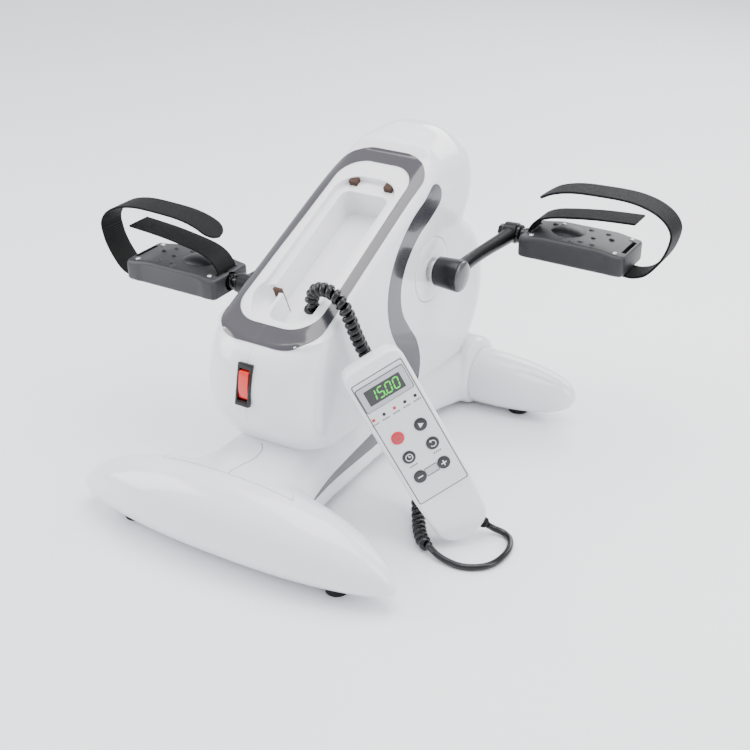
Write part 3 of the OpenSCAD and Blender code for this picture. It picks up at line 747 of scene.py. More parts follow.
outer = loop_points(55, 52, -128, 149, 36)
inner = loop_points(45.5, 42, -103, 130, 30)
rows = []
for (x0, a0), (x1, a1) in list(zip(outer, inner)) + [(outer[0], inner[0])]:
    rows.append([slope @ Vector((x0 + (x1 - x0) * k / 8, a0 + (a1 - a0) * k / 8, 0)) for k in range(9)])
ring = laid_strip("trim_ring_strip", rows, slope.to_3x3() @ Vector((0, 0, -1)), 0.7, trim_grey, 2.5)
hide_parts("trim_ring")
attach(ring, "root")

# %% Foam pads and the grommet
def foam(name, low, high):
    block = prism(name, rounded((high[0] - low[0]) / 2, (high[1] - low[1]) / 2, 0.6, 3,
                                ((low[0] + high[0]) / 2, (low[1] + high[1]) / 2)),
                  low[2], high[2], slope, foam_brown)
    return block


pads = join("cradle_foam", [foam("a", (-25, 98, -6.9), (-16, 106.8, -1.6)),
                            foam("b", (16, 98, -6.9), (25, 106.8, -1.6)),
                            foam("c", (-25, -57.4, -36), (-15, -54, -4.5))])
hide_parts("cradle_pads")
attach(pads, "root")
eye = prism("grommet", disc(8.3, 40, (25.5, -66)), -9, -6.2, slope, gloss_black)
combine(eye, prism("cutter", disc(3.2, 32, (25.5, -66)), -20, 5, slope, gloss_black))
soften(eye, 0.8, 3, 40)
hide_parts("cord_grommet")
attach(eye, "root")

# %% [markdown]
# ## Side stripes
# The grey stripe is a glossy inlay that follows an S from the hump down to the foot. It starts as
# a line down the side with a width at each point, and every point of the band is then dropped
# sideways onto the skin, so the stripe takes the casing's own curve.

# %% The stripes
stripe_line = [(105, 288), (93, 282), (76, 273), (55, 264), (36, 250), (21, 233), (12, 212),
               (11, 190), (18, 168), (32, 147), (46, 128), (55, 108), (56.5, 92), (55, 80)]
stripe_half = [13, 13, 13, 13, 13, 13, 13, 13, 13, 13.5, 14, 13, 12, 11]
OUTSIDE = 90


def side_stripes(suffix, middle_line, halves, steps, lift, skin, round_start=False):
    """The same grey band on both sides, from its middle line and its half widths."""
    line = through([Vector((y, z, 0)) for y, z in middle_line], steps)
    widths = [read_off(list(enumerate(halves)), i / steps) for i in range(len(line))]
    for side, name in ((-1, "side_trim_left"), (1, "side_trim_right")):
        rows, travelled = [], 0
        for i, (p, w) in enumerate(zip(line, widths)):
            ahead = (line[min(i + 1, len(line) - 1)] - line[max(i - 1, 0)]).normalized()
            across = Vector((-ahead.y, ahead.x, 0))
            travelled += (p - line[max(i - 1, 0)]).length
            if round_start:
                w *= math.sqrt(max(1 - max(1 - travelled / w, 0) ** 2, 0.0004))
            rows.append([(side * OUTSIDE, *(p + across * w * (2 * k / 10 - 1)).xy)
                         for k in range(11)])
        stripe = laid_strip(name + suffix, rows, (-side, 0, 0), lift, trim_grey, 0.6, skin)
        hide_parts(name)
        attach(stripe, "root")


side_stripes("_inlay", stripe_line, stripe_half, 12, 0.3, casing_skin, round_start=True)

# %% Axle covers
for side, name in ((-1, "axle_cover_left"), (1, "axle_cover_right")):
    cover = lathe(name + "_disc", [(57.5, 0), (57.5, 34.7), (59.6, 34.7), (60.3, 34.2), (60.5, 33),
                                   (60.9, 20), (61, 14.5), (60.6, 13.5), (60, 12)],
                  AXLE_Y, AXLE_Z, casing_white, side, 96)
    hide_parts(name)
    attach(cover, "root")

# %% [markdown]
# ## Base and feet
# The low base runs back from a wide front foot to a round rear foot. On the real machine the neck
# flows into the front foot without a corner, so the foot, the beam and the saddle are first made
# as separate solids, then wrapped in one even skin and smoothed, which rounds every inner corner
# as a fillet would. The skin is then parted again along the mouldings' own seams.

# %% Three solids
def foot_radius(x):
    return max(43 * max(1 - abs(x / 184.5) ** 2.3, 0) ** 0.62, 0.3)


def foot_ring(x, steps=56):
    r = foot_radius(x)
    z = 2 + (43 - r) * 0.42 + r
    return [(x, -197 + r * math.cos(math.tau * k / steps), z + r * math.sin(math.tau * k / steps))
            for k in range(steps)]


spindle = loft("spindle", [foot_ring(184 * math.sin(math.radians(a))) for a in range(-90, 91, 3)],
               casing_white)
beam_width = [(-200, 80), (-188, 78), (-176, 72), (-160, 62), (-145, 56), (-120, 51), (-80, 47.5),
              (60, 47.5), (110, 49), (140, 56), (165, 66), (185, 70), (205, 71), (222, 68),
              (232, 60)]
beam_top = [(-200, 80), (-185, 87), (-170, 90), (-150, 94), (-130, 98), (190, 78), (203, 75),
            (215, 68), (225, 57), (232, 40)]


def beam_ring(y):
    w, top = read_off(beam_width, y), read_off(beam_top, y)
    half = []
    for k in range(15):
        a = math.pi / 2 * (1 - k / 14)
        half.append((w * math.cos(a) ** 0.75, y, 34 + (top - 34) * max(math.sin(a), 0) ** 0.75))
    half += [(w - 0.5, y, 24), (w - 3, y, 14), (w - 9, y, 7)]
    half = [(max(x, 0), y, z) for x, y, z in half]
    return half + [(-x, y, z) for x, y, z in half[::-1]]


beam = loft("beam", [beam_ring(y) for y in [-200 + 6 * i for i in range(72)] + [232]], casing_white)
saddle = lathe("saddle", [(-70, 34), (-69, 38), (-66, 40), (66, 40), (69, 38), (70, 34)],
               197, 37.5, casing_white, steps=72)
lower = join("lower_skin", [spindle, beam, saddle])

# %% One skin, smoothed, then flattened underneath
step = lower.modifiers.new("skin", "REMESH")
step.mode = "VOXEL"
step.voxel_size = 2.4 * MM
apply_modifiers(lower)
work = bmesh.new()
work.from_mesh(lower.data)
bmesh.ops.bisect_plane(work, geom=work.verts[:] + work.edges[:] + work.faces[:],
                       plane_co=(0, -196 * MM, 0), plane_no=(0, 1, 0), dist=1e-6)
for side in (-1, 1):
    bmesh.ops.bisect_plane(work, geom=work.verts[:] + work.edges[:] + work.faces[:],
                           plane_co=(side * 76 * MM, 0, 0), plane_no=(1, 0, 0), dist=1e-6)


def near_fillet(p):
    """True close to the inner corner between the neck and the front foot."""
    return -192 < p.y / MM < -120 and abs(p.x) / MM < 96


for turns, chosen in ((6, work.verts[:]), (26, [v for v in work.verts if near_fillet(v.co)])):
    for _ in range(turns):
        bmesh.ops.smooth_vert(work, verts=chosen, factor=0.5, use_axis_x=True, use_axis_y=True,
                              use_axis_z=True)
for v in work.verts:
    v.co.z = max(v.co.z, (2.2 if v.co.y > -0.12 else 1.5) * MM)
work.to_mesh(lower.data)
work.free()
lower.data.shade_smooth()
lower_skin = BVHTree.FromObject(lower, bpy.context.evaluated_depsgraph_get())

# %% [markdown]
# The stripe doesn't stop where the casing ends. It goes on over the low base, turns forward along
# the neck and thins out to a point before the front foot. It is the same kind of band, only
# dropped onto the lower skin.

# %% The stripes' lower ends
lower_line = [(54, 78), (50, 64), (38, 52), (18, 46), (-5, 43), (-30, 42), (-65, 41), (-100, 40),
              (-135, 39)]
lower_half = [11.5, 12, 11, 10, 9, 7.5, 5.5, 3.5, 0.5]
side_stripes("_tail", lower_line, lower_half, 8, 0.4, lower_skin)
print("the lower ends reach forward to y", lower_line[-1][0])
print(len(lower.data.vertices), "points in the lower skin")


# %% Parting the skin at the seams
def part_of(made, name, belongs):
    """The faces of a mesh whose middle passes a test, shaded as they were in the whole."""
    normals = [v.normal.copy() for v in made.data.vertices]
    work = bmesh.new()
    work.from_mesh(made.data)
    number = work.verts.layers.int.new("whole")
    for v in work.verts:
        v[number] = v.index
    outside = [f for f in work.faces if not belongs(f.calc_center_median() / MM)]
    bmesh.ops.delete(work, geom=outside, context="FACES")
    kept = [normals[v[number]] for v in work.verts]
    mesh = bpy.data.meshes.new(name)
    work.to_mesh(mesh)
    work.free()
    mesh.materials.append(made.data.materials[0] if made.data.materials else casing_white)
    mesh.shade_smooth()
    mesh.normals_split_custom_set_from_vertices(kept)
    piece = bpy.data.objects.new(name, mesh)
    bpy.context.scene.collection.objects.link(piece)
    return piece


def on_foot(p):
    return p.y < -196 or abs(p.x) > 76


foot = part_of(lower, "front_foot_shell", on_foot)
base = part_of(lower, "base_shell", lambda p: not on_foot(p))
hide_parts("front_foot")
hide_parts("base_cover")
for piece in (foot, base):
    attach(piece, "root")
bpy.data.objects.remove(lower)

# %% [markdown]
# The rear foot is a plain round tube with a long bullet-shaped cap on each end. The caps are
# turned shapes: the radius follows an ellipse to the tip, and a small step leaves the fine
# shadow line where cap and tube meet.

# %% Rear foot
tube_piece = lathe("rear_foot_bar", [(-69.8, 30), (-69.8, 32), (-69.3, 32.5), (69.3, 32.5),
                                     (69.8, 32), (69.8, 30)], 197, 33.5, casing_white, steps=72)
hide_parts("rear_foot_tube")
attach(tube_piece, "root")
for side, name in ((-1, "rear_foot_cap_left"), (1, "rear_foot_cap_right")):
    bullet = [(70.1, 30), (70.1, 31.9), (70.6, 32.5)]
    bullet += [(70.6 + 117.4 * math.sin(math.radians(a)), 32.5 * math.cos(math.radians(a)) ** 0.8)
               for a in range(4, 90, 3)]
    cap = lathe(name + "_shell", bullet, 197, 33.5, casing_white, side, 72)
    for v in cap.data.vertices:
        v.co.z = max(v.co.z, 2.2 * MM)
    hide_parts(name)
    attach(cap, "root")


# %% Fine seams, as painted shadow lines
def seam(name, points, skin, aim, width=0.55):
    """A hairline of shadow on a skin."""
    aim = Vector(aim).normalized()
    line = evenly(through([Vector(p) for p in points], 10), 2.0)
    laid = []
    for p in line:
        hit, normal, _, _ = skin.ray_cast((p - aim * 150) * MM, aim)
        if hit is None:
            hit, normal, _, _ = skin.find_nearest(p * MM)
        if normal.dot(aim) > 0:
            normal = -normal
        laid.append((hit / MM, normal))
    points, faces = [], []
    for i, (here, normal) in enumerate(laid):
        ahead = (laid[min(i + 1, len(laid) - 1)][0] - laid[max(i - 1, 0)][0]).normalized()
        across = ahead.cross(normal).normalized() * width / 2
        points += [here + normal * 0.08 - across, here + normal * 0.14, here + normal * 0.08 + across]
    for i in range(len(laid) - 1):
        for k in (0, 1):
            faces.append((i * 3 + k, i * 3 + k + 1, i * 3 + k + 4, i * 3 + k + 3))
    return mesh_piece(name, points, faces, painted_seam_shadow, 60)


# Painted shadow lines on the front foot's crest and the neck's parting line; the skin under them has no
# groove.
crest = seam("crest", [(-76, -184, 90), (-79, -196, 90), (-60, -196, 90), (60, -196, 90),
                       (72, -196, 90), (66, -186, 90)], lower_skin, (0, 0, -1), 0.45)
parting = seam("parting", [(0, -196, 95), (-1, -188, 95), (3, -176, 95), (8, -165, 95),
                           (8, -152, 95), (2, -144, 98)], lower_skin, (0, 0, -1), 0.6)
seams = join("base_seam_shadows", [crest, parting])
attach(seams, "root")

# %% [markdown]
# ## Cranks and hubs
# Each crank is a forged arm with a sleeve that slides on the axle. The sleeve is turned, so it is
# a lathe shape; the arm is a round bar drawn along a curve that steps outward, which keeps the
# pedal clear of the casing. A domed cap closes the sleeve, and a bare steel collar shows behind.

# %% Cranks
CRANK = 105
CRANK_ANGLE = math.radians(8)
PEDAL_X = 122.4
for side, ending in ((-1, "left"), (1, "right")):
    way = side * (CRANK * math.cos(CRANK_ANGLE)), side * (CRANK * math.sin(CRANK_ANGLE))
    along = Vector((0, way[0], way[1])) / CRANK
    hub_at = Vector((0, AXLE_Y, AXLE_Z))
    boss_at = hub_at + along * CRANK

    sleeve = lathe("sleeve", [(67.6, 0), (67.6, 14.6), (68.4, 15.6), (93, 17.2), (94.6, 16.9),
                              (95.2, 15.8), (95.2, 0)], AXLE_Y, AXLE_Z, satin_black, side, 64)
    path = [hub_at + along * d + Vector((side * x, 0, 0)) for d, x in
            ((4, 86), (16, 86.5), (30, 88), (48, 91), (66, 95), (84, 99.5), (97, 102), (105, 102.5))]
    arm = tube("bar", through(path, 6), lambda t: 8.6 - 1.4 * math.sin(math.pi * min(t * 1.15, 1)),
               satin_black, 24)
    boss = lathe("boss", [(94, 0), (94, 9.6), (95, 10.6), (108.6, 11.4), (109.8, 10.4), (109.8, 0)],
                 boss_at.y, boss_at.z, satin_black, side, 48)
    nut = lathe("nut", [(88, 0), (88, 6.6), (89, 7.4), (94, 7.4), (94, 0)], boss_at.y, boss_at.z,
                satin_black, side, 6, sharp=30)
    crank = join("crank_" + ending, [sleeve, arm, boss, nut])
    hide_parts("crank_arm_" + ending)
    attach(crank, "crank")

    cap = lathe("hub_dome_" + ending, [(95.0, 0), (95.0, 16.0), (95.5, 16.4)]
                + [(95.5 + 4.3 * math.sin(math.radians(a)), 16.4 * math.cos(math.radians(a)))
                   for a in range(6, 91, 7)], AXLE_Y, AXLE_Z, cap_grey, side, 64, sharp=50)
    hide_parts("hub_cap_" + ending)
    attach(cap, "crank")

    collar = [(61.4, 0), (61.4, 12.2), (62, 12.6), (63.4, 12.6), (63.7, 11.8), (64.2, 11.8),
              (64.5, 12.6), (66.4, 12.6), (66.8, 11.6), (67.6, 11.6), (67.6, 0)]
    ring = lathe("axle_collar_" + ending, collar, AXLE_Y, AXLE_Z, turned_steel, side, 64)
    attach(ring, "crank")

    pin = [(109.8, 0), (109.8, 9.2), (110.8, 10.2), (113.6, 10.2), (114.4, 9.2), (114.4, 7.2),
           (118, 7.0), (119, 8.2), (128, 8.2), (128, 6), (190, 6), (190, 0)]
    spindle = lathe("spindle_" + ending, pin, boss_at.y, boss_at.z, gloss_black, side, 48)
    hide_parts("pedal_spindle_" + ending)
    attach(spindle, "crank")
print("spindle at", [round(c) for c in boss_at])

# %% [markdown]
# ## Pedals and straps
# A pedal is a moulded block a shoe rests on. It is lofted from end to end, so its back can arch
# gently and its edges stay round. A low dome under the ball of the foot and a few nubs give grip.
# The straps are stiff webbing: each is a flat section swept along the loop it is bent into, and
# the upper one ends in a rounded tongue that presses onto the lower one.

# %% Pedal parts
PEDAL = 118


def pedal_frame(side):
    """Pedal's own axes: x outward from its inner end, y along the machine, z up."""
    way = side * CRANK
    at = (side * PEDAL_X, AXLE_Y + way * math.cos(CRANK_ANGLE), AXLE_Z + way * math.sin(CRANK_ANGLE))
    return Matrix.Translation(at) @ Matrix.Diagonal((side, 1, 1, 1))


def pedal_ring(x, place):
    t = x / PEDAL
    shrink = 1 - 0.035 * (abs(2 * t - 1) ** 8)
    half_w = 31 * shrink
    top = 13.2 - 3.4 * ramp(abs(2 * t - 1), 0.45, 0.95)
    waist = 1.2 * (1 - ramp(abs(2 * t - 1), 0.62, 0.78))
    low = -13 * shrink
    section = []
    for (cy, cz), r, start in (((half_w - 3.5, low + 3.5), 3.5, -90), ((half_w - 5, top - 5), 5, 0),
                               ((-half_w + 5, top - 5), 5, 90), ((-half_w + 3.5, low + 3.5), 3.5, 180)):
        for k in range(7):
            a = math.radians(start + 90 * k / 6)
            section.append((cy + r * math.cos(a), cz + r * math.sin(a)))
    out = []
    for y, z in section:
        inset = waist * ramp(top - z, 3, 6) * (1 if abs(y) > half_w - 3 else 0)
        out.append(place @ Vector((x, y - math.copysign(inset, y), z)))
    return out


def swept_strap(name, points, width, place, material, tongue=False, thick=2.4):
    """A flat strap swept along a curve seen from the side, with a round tongue if asked."""
    line = evenly(through([Vector((x, 0, z)) for x, z in points], 8), 2.0)
    rings = []
    for i, p in enumerate(line):
        ahead = (line[min(i + 1, len(line) - 1)] - line[max(i - 1, 0)]).normalized()
        up = Vector((-ahead.z, 0, ahead.x))
        half = width / 2
        if tongue and i * 2.0 < half:
            half *= math.sqrt(max(1 - (1 - i * 2.0 / half) ** 2, 0.01))
        edge = [(half, -0.5), (half, 0.5), (half - 0.5, 1), (0.5 - half, 1), (-half, 0.5),
                (-half, -0.5), (0.5 - half, -1), (half - 0.5, -1)]
        rings.append([place @ (p + Vector((0, a, 0)) + up * b * thick / 2) for a, b in edge])
    return loft(name, rings, material, sharp=50)


strap_top = [(12, 47), (28, 57), (50, 63), (78, 65), (112, 65), (136, 60), (152, 51), (160, 39),
             (159, 26), (154, 12), (145, -2), (136, -11), (124, -15.5), (113, -15.5)]
strap_low = [(6, 10.5), (7, 15), (14, 24), (26, 30), (44, 34), (80, 39), (122, 42)]
nubs = [(66, -18), (80, -20), (64, 18), (84, 16), (74, -2), (92, 4), (58, -24), (24, 16)]
screws = [(12, -21), (106, -23), (108, 21)]

# %% Pedals
for side, ending in ((-1, "left"), (1, "right")):
    place = pedal_frame(side)
    body = "pedal_" + ending
    xs = [0, 0.6, 1.8, 3.6] + [6 + 106 * i / 48 for i in range(49)] + [114.4, 116.2, 117.4, 118]
    rings = []
    for x in xs:
        ring = pedal_ring(x, place)
        edge = min(x, PEDAL - x)
        if edge < 3.6:
            pull = 3.6 - math.sqrt(3.6 ** 2 - (3.6 - edge) ** 2)
            centre = place @ Vector((x, 0, -1))
            ring = [centre + (p - centre) * (1 - pull / 22) for p in ring]
        rings.append(ring)
    block = loft("block", rings, pedal_charcoal)
    bore = [place @ Vector((x, 10.6 * math.cos(math.tau * k / 40),
                            10.2 * math.sin(math.tau * k / 40) - 0.6))
            for x in (-1, 20) for k in range(40)]
    combine(block, loft("cutter", [bore[:40], bore[40:]], pedal_charcoal))
    for low, high, floor in ((3.6, 8.4, 9), (110.6, 115.4, -20)):
        combine(block, prism("cutter", rounded((high - low) / 2, 17, 1, 3, ((low + high) / 2, 0)),
                             floor, 30, place, pedal_charcoal))
    tidy(block, 36)
    dome = egg("dome", (44, 3, 9), (21, 17, 9.5), place, pedal_charcoal)
    bumps = [egg("nub", (x, y, 12.2), (3.4, 3.4, 2.4), place, pedal_charcoal, 10, 20) for x, y in nubs]
    made = join("pedal_moulding_" + ending, [block, dome] + bumps)
    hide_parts("pedal_body_" + ending)
    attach(made, body)

    heads = []
    for x, y in screws + [(36, 8)]:
        z = 10.4 if x < 20 or x > 100 else 17.6
        heads.append(egg("head", (x, y, z), (2.7, 2.7, 1.6), place, zinc_steel, 10, 20))
    heads = join("pedal_screw_heads_" + ending, heads)
    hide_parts("pedal_screws_" + ending)
    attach(heads, body)

    over = swept_strap("strap_over_" + ending, strap_top, 32, place, strap_black, True)
    under = swept_strap("strap_under_" + ending, strap_low, 30, place, strap_black)
    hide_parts("strap_outer_" + ending)
    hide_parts("strap_inner_" + ending)
    for strap in (over, under):
        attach(strap, body)

# %% [markdown]
# ## Power switch
# A rocker snaps into a slot in the nose. Its frame is a black moulding with a flange that covers
# the slot's edge. The rocker is clear red plastic over a small lamp, shallowly bent in the middle,
# so one end always stands proud. It turns on two short pins at the sides.

# %% The switch
bezel = prism("bezel", rounded(8, 21, 1.2, 4), -1.2, 2.6, switch, gloss_black)
sleeve = prism("sleeve", rounded(6.6, 19.2, 0.6, 3), -14, 0, switch, gloss_black)
combine(bezel, sleeve, "UNION")
combine(bezel, prism("cutter", rounded(5.6, 15.6, 0.4, 2), -11, 8, switch, gloss_black))
soften(bezel, 0.5, 2, 40)
bezel.name = "switch_frame"
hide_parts("switch_bezel")
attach(bezel, "root")

rest_tilt = switch @ Matrix.Translation((0, 0, -3)) @ Matrix.Rotation(math.radians(7), 4, "X")
profile = [(-14, -1), (-14.1, 4.2), (-13.6, 4.9)]
profile += [(y, 6.3 - 1.5 * (y / 14) ** 2 + 0.5 * (abs(y) / 14) ** 6)
           for y in (-12, -9, -6, -3, 0, 3, 6, 9, 12)] + [(13.6, 4.9), (14.1, 4.2), (14, -1), (0, -4)]
rocker = loft("rocker_lens", [[rest_tilt @ Vector((x, y * s, z * s + d)) for y, z in profile]
                              for x, s, d in ((-5.2, 0.97, 0.1), (-4.7, 1, 0),
                                              (4.7, 1, 0), (5.2, 0.97, 0.1))],
              rocker_red, sharp=30)
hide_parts("rocker_switch")
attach(rocker, "rocker")

# %% [markdown]
# ## Handset
# The handset is two shells and a printed film. Its outline has square shoulders and a narrower
# round foot, and each shell is that outline lofted through the thickness, pulled in a little at
# the edge to give the soft corner a mould needs. The film sits in a shallow recess and carries
# a dark border, and the display looks out through a window in it.

# %% Handset shells
def handset_outline(d=0.0, count=120):
    """Outline of the handset, d inside its skin."""
    pts = []

    def corner(cx, cy, r, a0, a1, n):
        for k in range(n + 1):
            a = math.radians(a0 + (a1 - a0) * k / n)
            pts.append(Vector((cx + (r - d) * math.cos(a), cy + (r - d) * math.sin(a), 0)))

    corner(19, 71, 12, 0, 90, 10)
    corner(-19, 71, 12, 90, 180, 10)
    pts.append(Vector((-31 + d, -60, 0)))
    corner(-6, -105, 22, 185, 270, 12)
    corner(6, -105, 22, 270, 355, 12)
    pts.append(Vector((31 - d, -60, 0)))
    closed = pts + pts[:1]
    total = sum((b - a).length for a, b in zip(closed, closed[1:]))
    return [(p.x, p.y) for p in evenly(closed, total / (count + 0.2))[:count]]


def shell(name, steps, material):
    rings = [[handset @ Vector((x, y, h)) for x, y in handset_outline(d)] for d, h in steps]
    return loft(name, rings, material, sharp=35)


back = shell("handset_back_shell", [(7, -26), (3.6, -25.4), (1.5, -23.8), (0.3, -21), (0, -17),
                                    (0, -11.5), (0.5, -11.1)], handset_white)
front = shell("handset_front_shell", [(0.5, -10.9), (0, -10.5), (0, -4.6), (0.35, -2.6), (1.1, -1.1),
                                      (2.2, -0.25), (3.6, 0)], handset_white)
combine(front, prism("cutter", rounded(27.3, 70.6, 2.5, 5), -0.7, 3, handset, handset_white))
combine(back, prism("cutter", disc(5.6, 32), -20, 12,
                    handset @ Matrix.Translation((14, -118, -13))
                    @ Matrix.Rotation(math.radians(20), 4, "Z")
                    @ Matrix.Rotation(math.radians(90), 4, "X"), handset_white))
for piece, covers in ((back, "handset_back"), (front, "handset_front")):
    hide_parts(covers)
    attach(piece, "handset")

# %% Printed film, bezel and window
WINDOW = (-0.5, 52)
film = prism("film_border", rounded(27.1, 70.4, 2.3, 5), -0.66, -0.1, handset, ink_grey)
field = prism("film_field", rounded(26.1, 69.4, 1.6, 5), -0.3, -0.02, handset, panel_print)
marks = [film, field]
for i in range(5):
    x = -1.4 + (i - 2) * 11.25
    for k in range(4):
        w = 0.62 if k % 2 else 0.85
        marks.append(prism("mark", rounded(w, 0.7, 0.2, 2, (x - 3 + 2 * k, 25.8)), -0.02, 0.03,
                           handset, ink_grey))
for x in (-13, 13):
    for k in range(4):
        marks.append(prism("mark", rounded(0.8, 0.75, 0.2, 2, (x - 3.3 + 2.2 * k, -30.6)), -0.02, 0.03,
                           handset, ink_grey))
marks.append(prism("speed_band", rounded(6.8, 4.6, 1.0, 3, (0, -44)), -0.02, 0.04, handset, ink_grey))
marks.append(prism("speed_band_in", rounded(6.5, 3.4, 0.8, 3, (0, -44)), 0.02, 0.06, handset,
                   bezel_grey))
film = join("handset_film", marks)
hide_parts("handset_panel")
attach(film, "handset")

rim_out = prism("bezel_line", rounded(25.6, 13.2, 2, 4, WINDOW), -0.1, 0.5, handset, ink_grey)
rim = prism("bezel_frame", rounded(24.8, 12.4, 1.6, 4, WINDOW), 0, 0.9, handset, bezel_grey)
rim = join("display_frame", [rim_out, rim])
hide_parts("display_bezel")
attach(rim, "handset")
window = prism("display_glass", rounded(19, 8, 0.6, 3, WINDOW), 0.1, 1.15, handset, window_dark)

# %% [markdown]
# The display is four seven-segment digits with a dot between the second and the third. Each
# segment is a thin six-sided bar, leaning a few degrees, and a digit is the list of the bars
# that are lit in it.

# %% Digits
DIGIT_W, DIGIT_H = 5.2, 10.4
BARS = {"a": (0, 1, "h"), "b": (0.5, 0.5, "v"), "c": (0.5, -0.5, "v"), "d": (0, -1, "h"),
        "e": (-0.5, -0.5, "v"), "f": (-0.5, 0.5, "v"), "g": (0, 0, "h")}
LIT = {"1": "bc", "5": "acdfg", "0": "abcdef"}


def bar_outline(x, y, length, thick, upright):
    n, t = length / 2, thick / 2
    pts = [(-n, 0), (-n + t, t), (n - t, t), (n, 0), (n - t, -t), (-n + t, -t)]
    return [(x - b, y + a) if upright else (x + a, y + b) for a, b in pts]


def lean(pts, middle):
    return [(x + 0.14 * (y - middle[1]), y) for x, y in pts]


bars = []
for k, digit in enumerate("1500"):
    centre = (WINDOW[0] - 12.3 + 8.2 * k, WINDOW[1])
    for key in LIT[digit]:
        u, v, kind = BARS[key]
        at = (centre[0] + u * DIGIT_W, centre[1] + v * DIGIT_H / 2)
        length = DIGIT_W - 0.5 if kind == "h" else DIGIT_H / 2 - 0.5
        outline = lean(bar_outline(*at, length, 1.25, kind == "v"), WINDOW)
        bars.append(prism("bar", outline, 1.1, 1.22, handset, digit_green))
bars.append(prism("dot", lean(disc(0.75, 16, (WINDOW[0] + 0.0, WINDOW[1] - 5.2)), WINDOW), 1.1, 1.22,
                  handset, digit_green))
glass = join("display_with_digits", [window] + bars)
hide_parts("display_window")
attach(glass, "handset")

# %% Lamps
lamps = []
for i in range(5):
    x = -1.4 + (i - 2) * 11.25
    lamps.append(egg("lamp", (x, 30.5, 0), (1.7, 1.7, 0.8), handset,
                     lamp_on if i in (0, 2) else lamp_off,
                     10, 20))
lamps = join("lamp_row", lamps)
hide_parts("indicator_leds")
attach(lamps, "handset")


# %% [markdown]
# ## Keys
# The keys are moulded buttons that stand a millimetre off the film and press in by as much. Each
# has a soft edge, and its sign is a thin printed shape on top: a broken ring with a stroke for
# power, a clock face, a bent arrow for reverse, and plain bars for slower and faster.

# %% Key shapes
def arc_band(cx, cy, r, thick, a0, a1, steps=28):
    """Outline of part of a ring."""
    def side(radius, turns):
        return [(cx + radius * math.cos(math.radians(a)), cy + radius * math.sin(math.radians(a)))
                for a in turns]
    turns = [a0 + (a1 - a0) * k / steps for k in range(steps + 1)]
    return side(r + thick / 2, turns) + side(r - thick / 2, turns[::-1])


def stroke(cx, cy, w, h):
    return [(cx - w / 2, cy - h / 2), (cx + w / 2, cy - h / 2), (cx + w / 2, cy + h / 2),
            (cx - w / 2, cy + h / 2)]


def key(name, x, y, body_material, ink, signs, slot):
    """One press button: a low domed cap with its sign, riding on its own body."""
    cap = loft(name + "_cap", [[handset @ Vector((x + r * math.cos(math.tau * k / 48),
                                                  y + r * math.sin(math.tau * k / 48), h))
                                for k in range(48)]
                               for r, h in ((6.4, -3), (6.5, 0.5), (6.3, 0.95), (5.7, 1.2), (3, 1.25))],
               body_material)
    pieces = [cap] + [prism("sign", s, 1.22, 1.3, handset, ink) for s in signs]
    made = join(name + "_key_cap", pieces)
    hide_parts(name + "_button")
    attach(made, name + "_key")
    return made


X, ROWS = 13, (2.5, -20.5, -44)
key("power", -X, ROWS[0], key_red, ink_grey,
    [arc_band(-X, ROWS[0], 3.1, 0.75, 125, 415), stroke(-X, ROWS[0] + 2.6, 0.8, 3.0)], "button_red")
key("start", X - 1, ROWS[0], key_black, ink_white,
    [[(X - 2.9, ROWS[0] - 2.6), (X + 1.9, ROWS[0]), (X - 2.9, ROWS[0] + 2.6)]], "button_black")
key("time", -X, ROWS[1], key_black, ink_white,
    [arc_band(-X, ROWS[1], 3.4, 0.65, 0, 359.5), stroke(-X, ROWS[1] + 1.1, 0.65, 2.4),
     stroke(-X + 0.9, ROWS[1], 2.2, 0.65)], "button_black")
key("reverse", X, ROWS[1], key_black, ink_white,
    [arc_band(X, ROWS[1], 3.1, 0.75, -150, 110),
     [(X - 2.6, ROWS[1] + 2.9), (X - 0.6, ROWS[1] + 1.4), (X - 0.6, ROWS[1] + 4.5)]], "button_black")
key("minus", -X, ROWS[2], key_black, ink_white, [stroke(-X, ROWS[2], 5.4, 1.1)], "button_black")
key("plus", X, ROWS[2], key_black, ink_white,
    [stroke(X, ROWS[2], 5.4, 1.1), stroke(X, ROWS[2] + 1.63, 1.1, 2.15),
     stroke(X, ROWS[2] - 1.63, 1.1, 2.15)], "button_black")

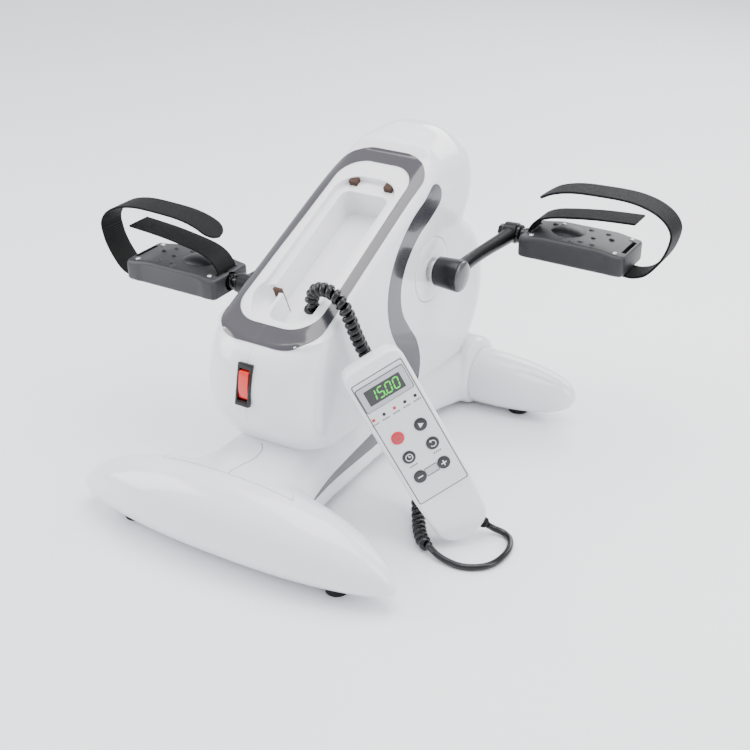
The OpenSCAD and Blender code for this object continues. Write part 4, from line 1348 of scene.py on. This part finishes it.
# %% Strain relief
relief = (handset @ Matrix.Translation((14, -118, -13)) @ Matrix.Rotation(math.radians(20), 4, "Z")
          @ Matrix.Rotation(math.radians(90), 4, "X"))
steps = [(4.8, -4), (4.8, 4)]
for i in range(3):
    low = 5.2 + 3.6 * i
    steps += [(4.5, low), (5.5, low + 0.2), (5.5, low + 1.6), (4.5, low + 1.8)]
steps += [(4.3, 16), (3.3, 16.3)]
boot = loft("relief_boot", [[relief @ Vector((r * math.cos(math.tau * k / 32),
                                              r * math.sin(math.tau * k / 32), h)) for k in range(32)]
                            for r, h in steps], matt_rubber)
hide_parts("strain_relief")
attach(boot, "handset")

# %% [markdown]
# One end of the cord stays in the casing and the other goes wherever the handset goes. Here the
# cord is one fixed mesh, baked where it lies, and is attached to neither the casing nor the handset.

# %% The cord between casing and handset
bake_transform(curly_cord)

# %% [markdown]
# ## The insides, the floor and the finished size
# The frame, the motor, its belt and the boards are hidden by the covers, so they keep their plain
# shapes and only get a finish each. The machine stands on a pale floor, as on a studio table.

# %% Finishes of the hidden pieces
hidden = {
    "chassis": frame_paint, "side_plate_left": frame_paint, "side_plate_right": frame_paint,
    "crank_bearings": turned_steel, "crank_axle": turned_steel, "motor_pulley": turned_steel,
    "motor": frame_paint, "drive_belt": matt_rubber, "drive_pulley": satin_black,
    "control_board": board_green, "handset_board": board_green, "power_inlet": satin_black,
    "casing_screws": zinc_steel, "rubber_pads": matt_rubber}
for name, material in hidden.items():
    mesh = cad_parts[name].data
    mesh.materials.clear()
    mesh.materials.append(material)
print(len(hidden), "hidden pieces finished")

# %% Floor
floor_pale, shader = finish_of("floor_pale", (0.90, 0.91, 0.93), 0.4)
noise_bump(floor_pale, shader, 60, 0.02)
FLOOR_HALF = 6
sheet = bpy.data.meshes.new("floor")
sheet.from_pydata([(x * FLOOR_HALF, y * FLOOR_HALF, 0)
                   for x, y in ((-1, -1), (1, -1), (1, 1), (-1, 1))], [], [(0, 1, 2, 3)])
sheet.materials.append(floor_pale)
floor = bpy.data.objects.new("floor", sheet)
bpy.context.scene.collection.objects.link(floor)
floor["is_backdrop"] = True

# %% Size of the finished machine
look_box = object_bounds()
for axis, low, high in zip("XYZ", *look_box):
    print(axis, round(low, 4), round(high, 4))
